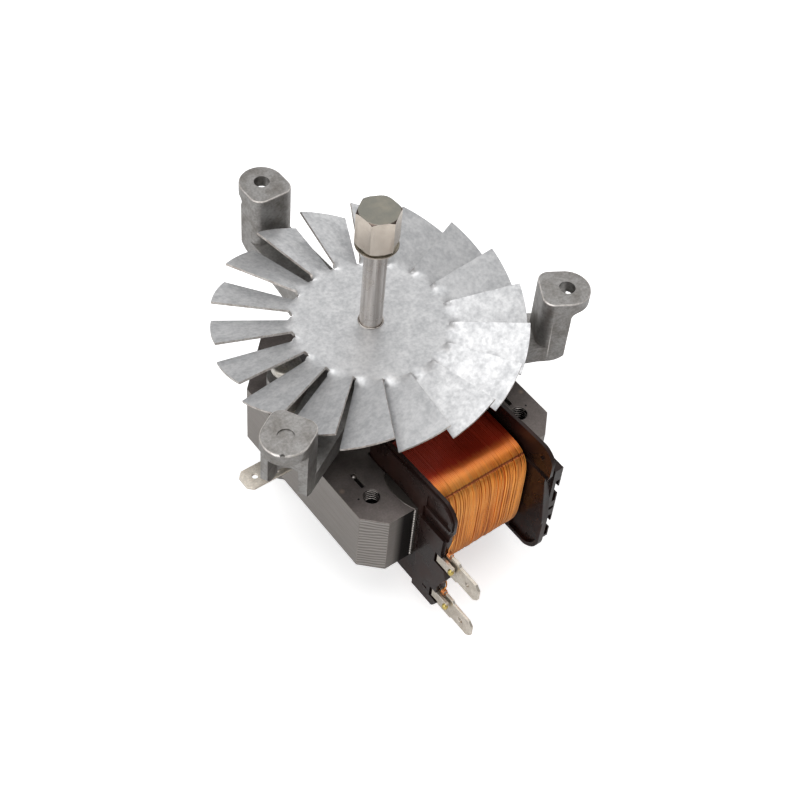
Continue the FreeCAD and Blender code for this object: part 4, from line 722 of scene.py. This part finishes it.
for level, height in FINGER_HEIGHTS.items():
    rounded_copy("terminal_" + level, "stator", [tin, tin_edge], 0.14, 2, split=True)
    arc = np.linspace(0.02, math.pi - 0.02, 16)
    drop = turned_profile(np.sin(arc), np.cos(arc), 24) * SOLDER_HALF
    drop += (*SOLDER_PLACE, SOLDER_HEIGHTS[level])
    finished_piece("solder_" + level, grid_mesh("solder_" + level, drop), "stator",
                   [solder])
    loop_turn = np.linspace(0, 2 * np.pi * LOOPS, LOOPS * 28)
    loops = np.stack([FINGER_X + LOOP_RADIUS * np.cos(loop_turn),
                      LOOPS_START - LOOPS_LENGTH * loop_turn / loop_turn[-1],
                      height + LOOP_RADIUS * np.sin(loop_turn)], 1)
    finished_piece("lead_loops_" + level,
                   grid_mesh("lead_loops_" + level, carried_tube(loops, LEAD_RADIUS, 8)),
                   "stator", [bare_lead])
    lead = carried_tube(eased_path(LEAD_PATHS[level]), LEAD_RADIUS, 8)
    finished_piece("lead_" + level, grid_mesh("lead_" + level, lead), "stator",
                   [enamel])

# Earth tab. A flat tinned tab that lies along the stack's top and stands out at the left. It is
# clamped by its eye under the bracket's left screw.
rounded_copy("earth_tab", "stator", [tin, tin_edge], 0.14, 2)

# Front bracket. One aluminium die casting: grey and mottled on its faces, and pale on its rounded
# rims and sloping faces, a painted highlight.
casting = Finish("casting", 0.85, 0.5)
cast_skin = casting.group(WORN_METAL, Clean=(0.33, 0.32, 0.31, 1), Stain=(0.17, 0.155, 0.138, 1),
                          Stain_Size=170.0, Stain_Amount=0.8, Grain_Size=1400.0, Grain_Amount=0.2,
                          Smooth=0.36, Rough=0.56)
cast_highlight = casting.group(WORN_METAL, Clean=(0.8, 0.76, 0.73, 1), Stain=(0.42, 0.38, 0.34, 1),
                         Stain_Size=300.0, Stain_Amount=0.8, Grain_Size=1400.0, Grain_Amount=0.15,
                         Smooth=0.28, Rough=0.42)
# Sloping faces and rounded rims take the pale colour: a painted highlight.
level_face = facing_up(casting.tree, 0.86, 0.985)
rim_highlight = calculate(casting.tree, "SUBTRACT", facing_up(casting.tree, 0.12, 0.45), level_face)
casting.link(blend_colours(casting.tree, rim_highlight, cast_skin.outputs["Color"],
                           cast_highlight.outputs["Color"]), "Base Color")
casting.link(cast_skin.outputs["Roughness"], "Roughness")
casting.bump(cast_skin.outputs["Height"], 0.25, 0.05)
PRINT_PLACE = (-43.56, -25.15)
PRINT_REACH = 3
bracket_mesh = merged_copy("front_bracket", "front_bracket_finished")
rim_shape = bmesh.new()
rim_shape.from_mesh(bracket_mesh)
rim_weight = rim_shape.edges.layers.float.new("bevel_weight_edge")
for edge in rim_shape.edges:
    middle = (edge.verts[0].co + edge.verts[1].co) / (2 * MM)
    on_top = min(end.co.z for end in edge.verts) > -0.05 * MM
    in_print = math.hypot(middle.x - PRINT_PLACE[0], middle.y - PRINT_PLACE[1]) < PRINT_REACH
    steep = len(edge.link_faces) == 2 and edge.calc_face_angle(0) > math.radians(50)
    if on_top and steep and not in_print and edge.calc_length() > 0.35 * MM:
        edge[rim_weight] = 1
rim_shape.to_mesh(bracket_mesh)
rim_shape.free()
bracket_piece = finished_piece("front_bracket_finished", bracket_mesh, "stator",
                               [casting], ["front_bracket"])
top_rims = round_edges(bracket_piece, 0.45, 3)
top_rims.name = "top_rims"
top_rims.limit_method = "WEIGHT"
top_rims.use_clamp_overlap = False
round_edges(bracket_piece, 0.4, 2)
rounded_copy("rear_bracket", "stator", [casting], 0.4, 3)

# Bracket screws and nuts. Two plated screws go down through the front bracket, the stack and the
# rear bracket, and are held by a nut each.
plated = worn_finish("zinc_plate", (0.62, 0.6, 0.56), (0.42, 0.36, 0.26), bump=0.05,
                     Stain_Size=220.0, Stain_Amount=0.6, Smooth=0.2, Rough=0.42)
rounded_copy("bracket_screws", "stator", [plated], 0.5, 3)
rounded_copy("bracket_nuts", "stator", [plated], 0.25, 2)

# Bearings. Sintered bronze balls with a flat at each end, in felt that holds their oil, each kept
# by a sprung steel cap.
bronze = worn_finish("sintered_bronze", (0.45, 0.32, 0.17), (0.2, 0.13, 0.07), bump=0.2,
                     Stain_Size=300.0, Stain_Amount=0.6, Grain_Size=3500.0, Grain_Amount=0.3,
                     Smooth=0.35, Rough=0.55)
oiled_felt = Finish("oiled_felt", 0.0, 0.9)
felt_place = oiled_felt.add("ShaderNodeTexCoord").outputs["Object"]
fuzz = noise(oiled_felt.tree, felt_place, 2500.0, 5.0, 0.8)
oiled_felt.link(blend_colours(oiled_felt.tree, fuzz, (0.32, 0.26, 0.17, 1), (0.66, 0.6, 0.48, 1)),
                "Base Color")
oiled_felt.bump(fuzz, 0.5, 0.2)
spring = worn_finish("spring_steel", (0.5, 0.5, 0.5), (0.28, 0.25, 0.22), bump=0.04, Smooth=0.22,
                     Rough=0.4)
for end in ("front", "rear"):
    rounded_copy(end + "_bearing", "stator", [bronze], 0.2, 2)
    rounded_copy(end + "_felt", "stator", [oiled_felt], 0.3, 2)
    rounded_copy(end + "_retainer", "stator", [spring], 0.1, 2)

# Rotor. A drum of round sheets with an aluminium cage cast through it, and the washers that set
# its end play.
rotor_steel = lamination_finish("rotor_sheets", (0.2, 0.19, 0.18), (0.1, 0.09, 0.08),
                                (0.5, 0.48, 0.45), (0.1, 0.09, 0.08))
rounded_copy("rotor_core", "rotor", [rotor_steel], 0.15, 2)
cage_metal = worn_finish("cage_aluminium", (0.62, 0.62, 0.62), (0.42, 0.4, 0.38), metallic=0.9,
                         bump=0.3, Smooth=0.35, Rough=0.55)
rounded_copy("rotor_cage", "rotor", [cage_metal], 0.4, 3)
washer_plastic = Finish("washer_plastic", 0.0, 0.45)
washer_place = washer_plastic.add("ShaderNodeTexCoord").outputs["Object"]
washer_cloud = noise(washer_plastic.tree, washer_place, 500.0)
washer_plastic.link(blend_colours(washer_plastic.tree, washer_cloud, (0.7, 0.66, 0.56, 1),
                                  (0.82, 0.79, 0.7, 1)), "Base Color")
for end in ("front", "rear"):
    rounded_copy(end + "_spacer", "rotor", [washer_plastic], 0.25, 2)
    rounded_copy(end + "_thrust_washer", "rotor", [washer_plastic], 0.1, 2)

# Shaft. Ground steel, with fine light and dark streaks along its length and a dull, slightly
# stained skin near the fan.
ground = Finish("ground_steel", 1.0, 0.22)
ground_place = ground.add("ShaderNodeTexCoord").outputs["Object"]
streak_stretch = ground.add("ShaderNodeMapping", Vector=ground_place)
streak_stretch.inputs["Scale"].default_value = (1.0, 1.0, 0.02)
length_streaks = noise(ground.tree, streak_stretch.outputs["Vector"], 620.0, 2.0, 0.5)
shaft_cloud = noise(ground.tree, ground_place, 260.0, 3.0)
shaft_colour = blend_colours(ground.tree, spread(ground.tree, length_streaks, 0.35, 0.65),
                             (0.5, 0.46, 0.43, 1), (0.84, 0.8, 0.77, 1))
ground.link(blend_colours(ground.tree, spread(ground.tree, shaft_cloud, 0.5, 0.75, 0.0, 0.5),
                          shaft_colour, (0.5, 0.44, 0.37, 1)), "Base Color")
ground.link(spread(ground.tree, shaft_cloud, 0.3, 0.7, 0.18, 0.32), "Roughness")
rounded_copy("shaft", "rotor", [ground], 0.1, 2)
rounded_copy("shaft_clip", "rotor", [spring], 0.1, 2)

# Cooling fan. One round of galvanised sheet, slit from its rim into eighteen blades and pressed:
# the middle stays flat and each blade is twisted about its own length. The sheet is pale and finely
# mottled, with a painted glint at the slits' ends, and brownish on its cut edges.
FAN_LEVEL = -9.3
FAN_SHEET = 0.6
FAN_HOLE = 3.4
FAN_RADIUS = 41.0
SLIT_END = 20.2
SLIT_GAP = 0.05
SLIT_NOTCH = 0.12
BLADES = 18
BLADE_START = 12.6
BLADE_TWIST = 23.8
BLADE_COLUMNS = 21
BURR_RADIUS = 3.22
BURR_LEVEL = -8.95
FAN_ROWS = [FAN_HOLE, 7, 11, 14.5, 16.5, 17.4, 18, 18.5, 19, 19.4, 19.75, 20, SLIT_END, 20.26,
            20.34, 20.42, 20.5, 20.65, 20.8, 20.95, 21.12, 21.3, 21.6, 22, 22.5, 23, 23.6, 24.3,
            26, 29, 33, 37, FAN_RADIUS]


def smooth_rise(value):
    """From 0 to 1 with no slope at either end."""
    held = np.clip(value, 0, 1)
    return held * held * (3 - 2 * held)


def pressed_fan(name):
    """The fan's middle surface, with a point attribute that places a painted glint near the slits'
    ends.

    A point lies along its blade and across it: radius times cos and sin of its angle from the
    blade's middle. It turns about the blade's length, so across becomes across cos(twist) and the
    height gains across sin(twist). The twist rises smoothly with the radius. It starts inside the
    slits' end in the blade's middle and right at it on the edges, where it also rises faster.
    """
    radius = np.array(FAN_ROWS, float)[:, None]
    share = np.linspace(-1, 1, BLADE_COLUMNS)[None]
    bulge = 1 - share ** 2
    notch = SLIT_NOTCH * np.sqrt(np.clip(1 - ((radius - SLIT_END) / SLIT_NOTCH - 1) ** 2, 0, 1))
    gap = np.where(radius > SLIT_END + 0.01, SLIT_GAP + notch, 0)
    angle = share * (math.pi / BLADES - gap / radius)
    rise = smooth_rise((radius - SLIT_END + 2.2 * bulge) / (0.9 + 5.0 * bulge))
    twist = math.radians(BLADE_TWIST) * rise
    along, across = radius * np.cos(angle), radius * np.sin(angle)
    height = FAN_LEVEL + across * np.sin(twist)
    across = across * np.cos(twist)
    edge_distance = (1 - np.abs(share)) * radius * math.pi / BLADES
    # The painted glint's weight, highest just past each slit's end.
    slit_glint = np.exp(-((radius - SLIT_END - 0.3) / 1.6) ** 2 - (edge_distance / 1.5) ** 2)
    points, faces = [], []
    index = np.arange(radius.size * share.size).reshape(radius.size, share.size)
    quads = np.stack([index[:-1, :-1], index[1:, :-1], index[1:, 1:], index[:-1, 1:]], -1)
    for blade in range(BLADES):
        middle = math.radians(BLADE_START + blade * 360 / BLADES)
        points.append(np.stack([along * math.cos(middle) - across * math.sin(middle),
                                along * math.sin(middle) + across * math.cos(middle),
                                height], -1).reshape(-1, 3))
        faces.append(quads.reshape(-1, 4) + blade * index.size)
    points = np.concatenate(points)
    _, first, shared = np.unique(np.round(points, 4), axis=0, return_index=True,
                                 return_inverse=True)
    faces = shared.reshape(-1)[np.concatenate(faces)]
    made = bpy.data.meshes.new(name)
    made.from_pydata((points[first] * MM).tolist(), [], faces.tolist())
    made.polygons.foreach_set("use_smooth", np.ones(len(faces), bool))
    slit_glint_weight = np.tile(slit_glint.reshape(-1), BLADES)[first]
    made.attributes.new("slit_glint", "FLOAT", "POINT").data.foreach_set("value", slit_glint_weight)
    return made


zinc = Finish("galvanised_sheet", 0.6, 0.4)
zinc_place = zinc.add("ShaderNodeTexCoord").outputs["Object"]
zinc_fleck = noise(zinc.tree, zinc_place, 900.0, 3.0, 0.6)
zinc_cloud = noise(zinc.tree, zinc_place, 250.0, 4.0, 0.6)
zinc_tone = calculate(zinc.tree, "MULTIPLY_ADD", zinc_fleck, 0.5,
                      calculate(zinc.tree, "MULTIPLY", zinc_cloud, 0.5))
zinc_colour = blend_colours(zinc.tree, spread(zinc.tree, zinc_tone, 0.38, 0.62),
                            (0.46, 0.465, 0.475, 1), (0.68, 0.68, 0.685, 1))
# Near the slits' ends the sheet is mixed towards near white: a painted glint.
zinc_glint_weight = zinc.add("ShaderNodeAttribute", [("attribute_name", "slit_glint")]).outputs["Fac"]
zinc_glint = calculate(zinc.tree, "MULTIPLY", zinc_glint_weight, 0.2)
zinc.link(blend_colours(zinc.tree, zinc_glint, zinc_colour, (0.92, 0.91, 0.9, 1)), "Base Color")
zinc.link(spread(zinc.tree, zinc_tone, 0.35, 0.65, 0.46, 0.35), "Roughness")
zinc.bump(zinc_fleck, 0.06, 0.05)
cut_edge = worn_finish("cut_edge", (0.58, 0.55, 0.52), (0.3, 0.25, 0.22), bump=0.1,
                       Stain_Size=260.0, Stain_Amount=0.8, Smooth=0.35, Rough=0.55)
fan_piece = finished_piece("cooling_fan_finished", pressed_fan("cooling_fan_finished"), "rotor",
                           [zinc, cut_edge], ["cooling_fan"])
thickness = fan_piece.modifiers.new("sheet", "SOLIDIFY")
thickness.thickness = FAN_SHEET * MM
thickness.offset = 0
thickness.material_offset_rim = 1
round_edges(fan_piece, 0.07, 1, 1, 50)
rounded_copy("fan_collar", "rotor", [plated], 0.2, 2)
burr_turn = np.linspace(0, 2 * np.pi, 72, endpoint=False)
burr_path = np.stack([BURR_RADIUS * np.cos(burr_turn), BURR_RADIUS * np.sin(burr_turn),
                      BURR_LEVEL + 0.06 * np.sin(5 * burr_turn)], 1)
burr_ring = grid_mesh("hub_burr", carried_tube(burr_path, 0.2, 8, True), True)
finished_piece("hub_burr", burr_ring, "rotor", [cut_edge])

# Cap nut. A closed hexagon, dull plated; painted dark olive on top as painted shade, pale beige on
# its sides as painted light, and dark brown on its upper turned corners as painted shade. Its
# corners alone are turned off at both ends, and it stands on a round collar with a dark groove
# above it.
NUT_APOTHEM = 5.0
NUT_CORNER_ANGLE = 35.4
NUT_BASE = 17.9
NUT_TOP = 29.4


def hexagon_radius(angle):
    """The distance to a hexagon's side in a direction.

    It is the apothem over the cos of the angle from the middle of the nearest side.
    """
    step = math.pi / 3
    from_corner = (angle - math.radians(NUT_CORNER_ANGLE)) % step
    return NUT_APOTHEM / np.cos(from_corner - step / 2)


def capped_hexagon():
    """The nut's outer surface: at each height the hexagon, held inside a cone at either end."""
    ring = np.arange(120) * (2 * math.pi / 120) + math.radians(NUT_CORNER_ANGLE)
    side = hexagon_radius(ring)
    foot = [(NUT_BASE, 3.05), (NUT_BASE, 5.15), (NUT_BASE + 0.12, 5.42), (NUT_BASE + 0.3, 5.55),
            (NUT_BASE + 0.62, 5.58), (NUT_BASE + 0.72, 5.5), (NUT_BASE + 0.76, 4.8),
            (NUT_BASE + 0.9, 4.75)]
    body = [(NUT_BASE + rise, 4.85 + (rise - 0.98) * 1.4)
            for rise in (0.98, 1.08, 1.18, 1.28, 1.38, 1.48, 1.65)]
    body += [(NUT_TOP - fall, 5.14 + fall * 1.6) for fall in (0.41, 0.34, 0.27, 0.2, 0.13, 0.06)]
    body += [(NUT_TOP, reach) for reach in (5.14, 4.0, 2.0, 0.02)]
    rows = [np.stack([reach * np.cos(ring), reach * np.sin(ring), np.full_like(ring, height)], 1)
            for height, reach in foot]
    for height, reach in body:
        held = np.minimum(side, reach)
        rows.append(np.stack([held * np.cos(ring), held * np.sin(ring),
                              np.full_like(ring, height)], 1))
    return np.array(rows)


nut_plate = Finish("nut_plate", 1.0, 0.24)
nut_place = nut_plate.add("ShaderNodeTexCoord").outputs["Object"]
nut_cloud = noise(nut_plate.tree, nut_place, 300.0, 4.0, 0.6)
# The top is painted dark olive and the sides pale beige: painted shade above, painted light on the
# sides.
nut_top_painted_shade = blend_colours(nut_plate.tree, spread(nut_plate.tree, nut_cloud, 0.4, 0.7),
                        (0.24, 0.235, 0.205, 1), (0.32, 0.3, 0.25, 1))
nut_sides_painted = blend_colours(nut_plate.tree, spread(nut_plate.tree, nut_cloud, 0.35, 0.7),
                         (0.78, 0.7, 0.61, 1), (0.64, 0.56, 0.48, 1))
nut_up = facing_up(nut_plate.tree, 0.85, 0.97)
# The sloping turned corners at the top are painted dark brown: painted shade.
nut_corner_shade = calculate(nut_plate.tree, "SUBTRACT", facing_up(nut_plate.tree, 0.25, 0.5), nut_up)
nut_sides_painted = blend_colours(nut_plate.tree, nut_corner_shade, nut_sides_painted, (0.13, 0.1, 0.085, 1))
nut_plate.link(blend_colours(nut_plate.tree, nut_up, nut_sides_painted, nut_top_painted_shade), "Base Color")
nut_plate.link(spread(nut_plate.tree, nut_cloud, 0.3, 0.7, 0.16, 0.26), "Roughness")
nut_plate.bump(nut_cloud, 0.04, 0.05)
nut_piece = finished_piece("cap_nut_finished", grid_mesh("cap_nut_finished", capped_hexagon()),
                           "rotor", [nut_plate], ["cap_nut"])
round_edges(nut_piece, 0.05, 2, 0, 25)
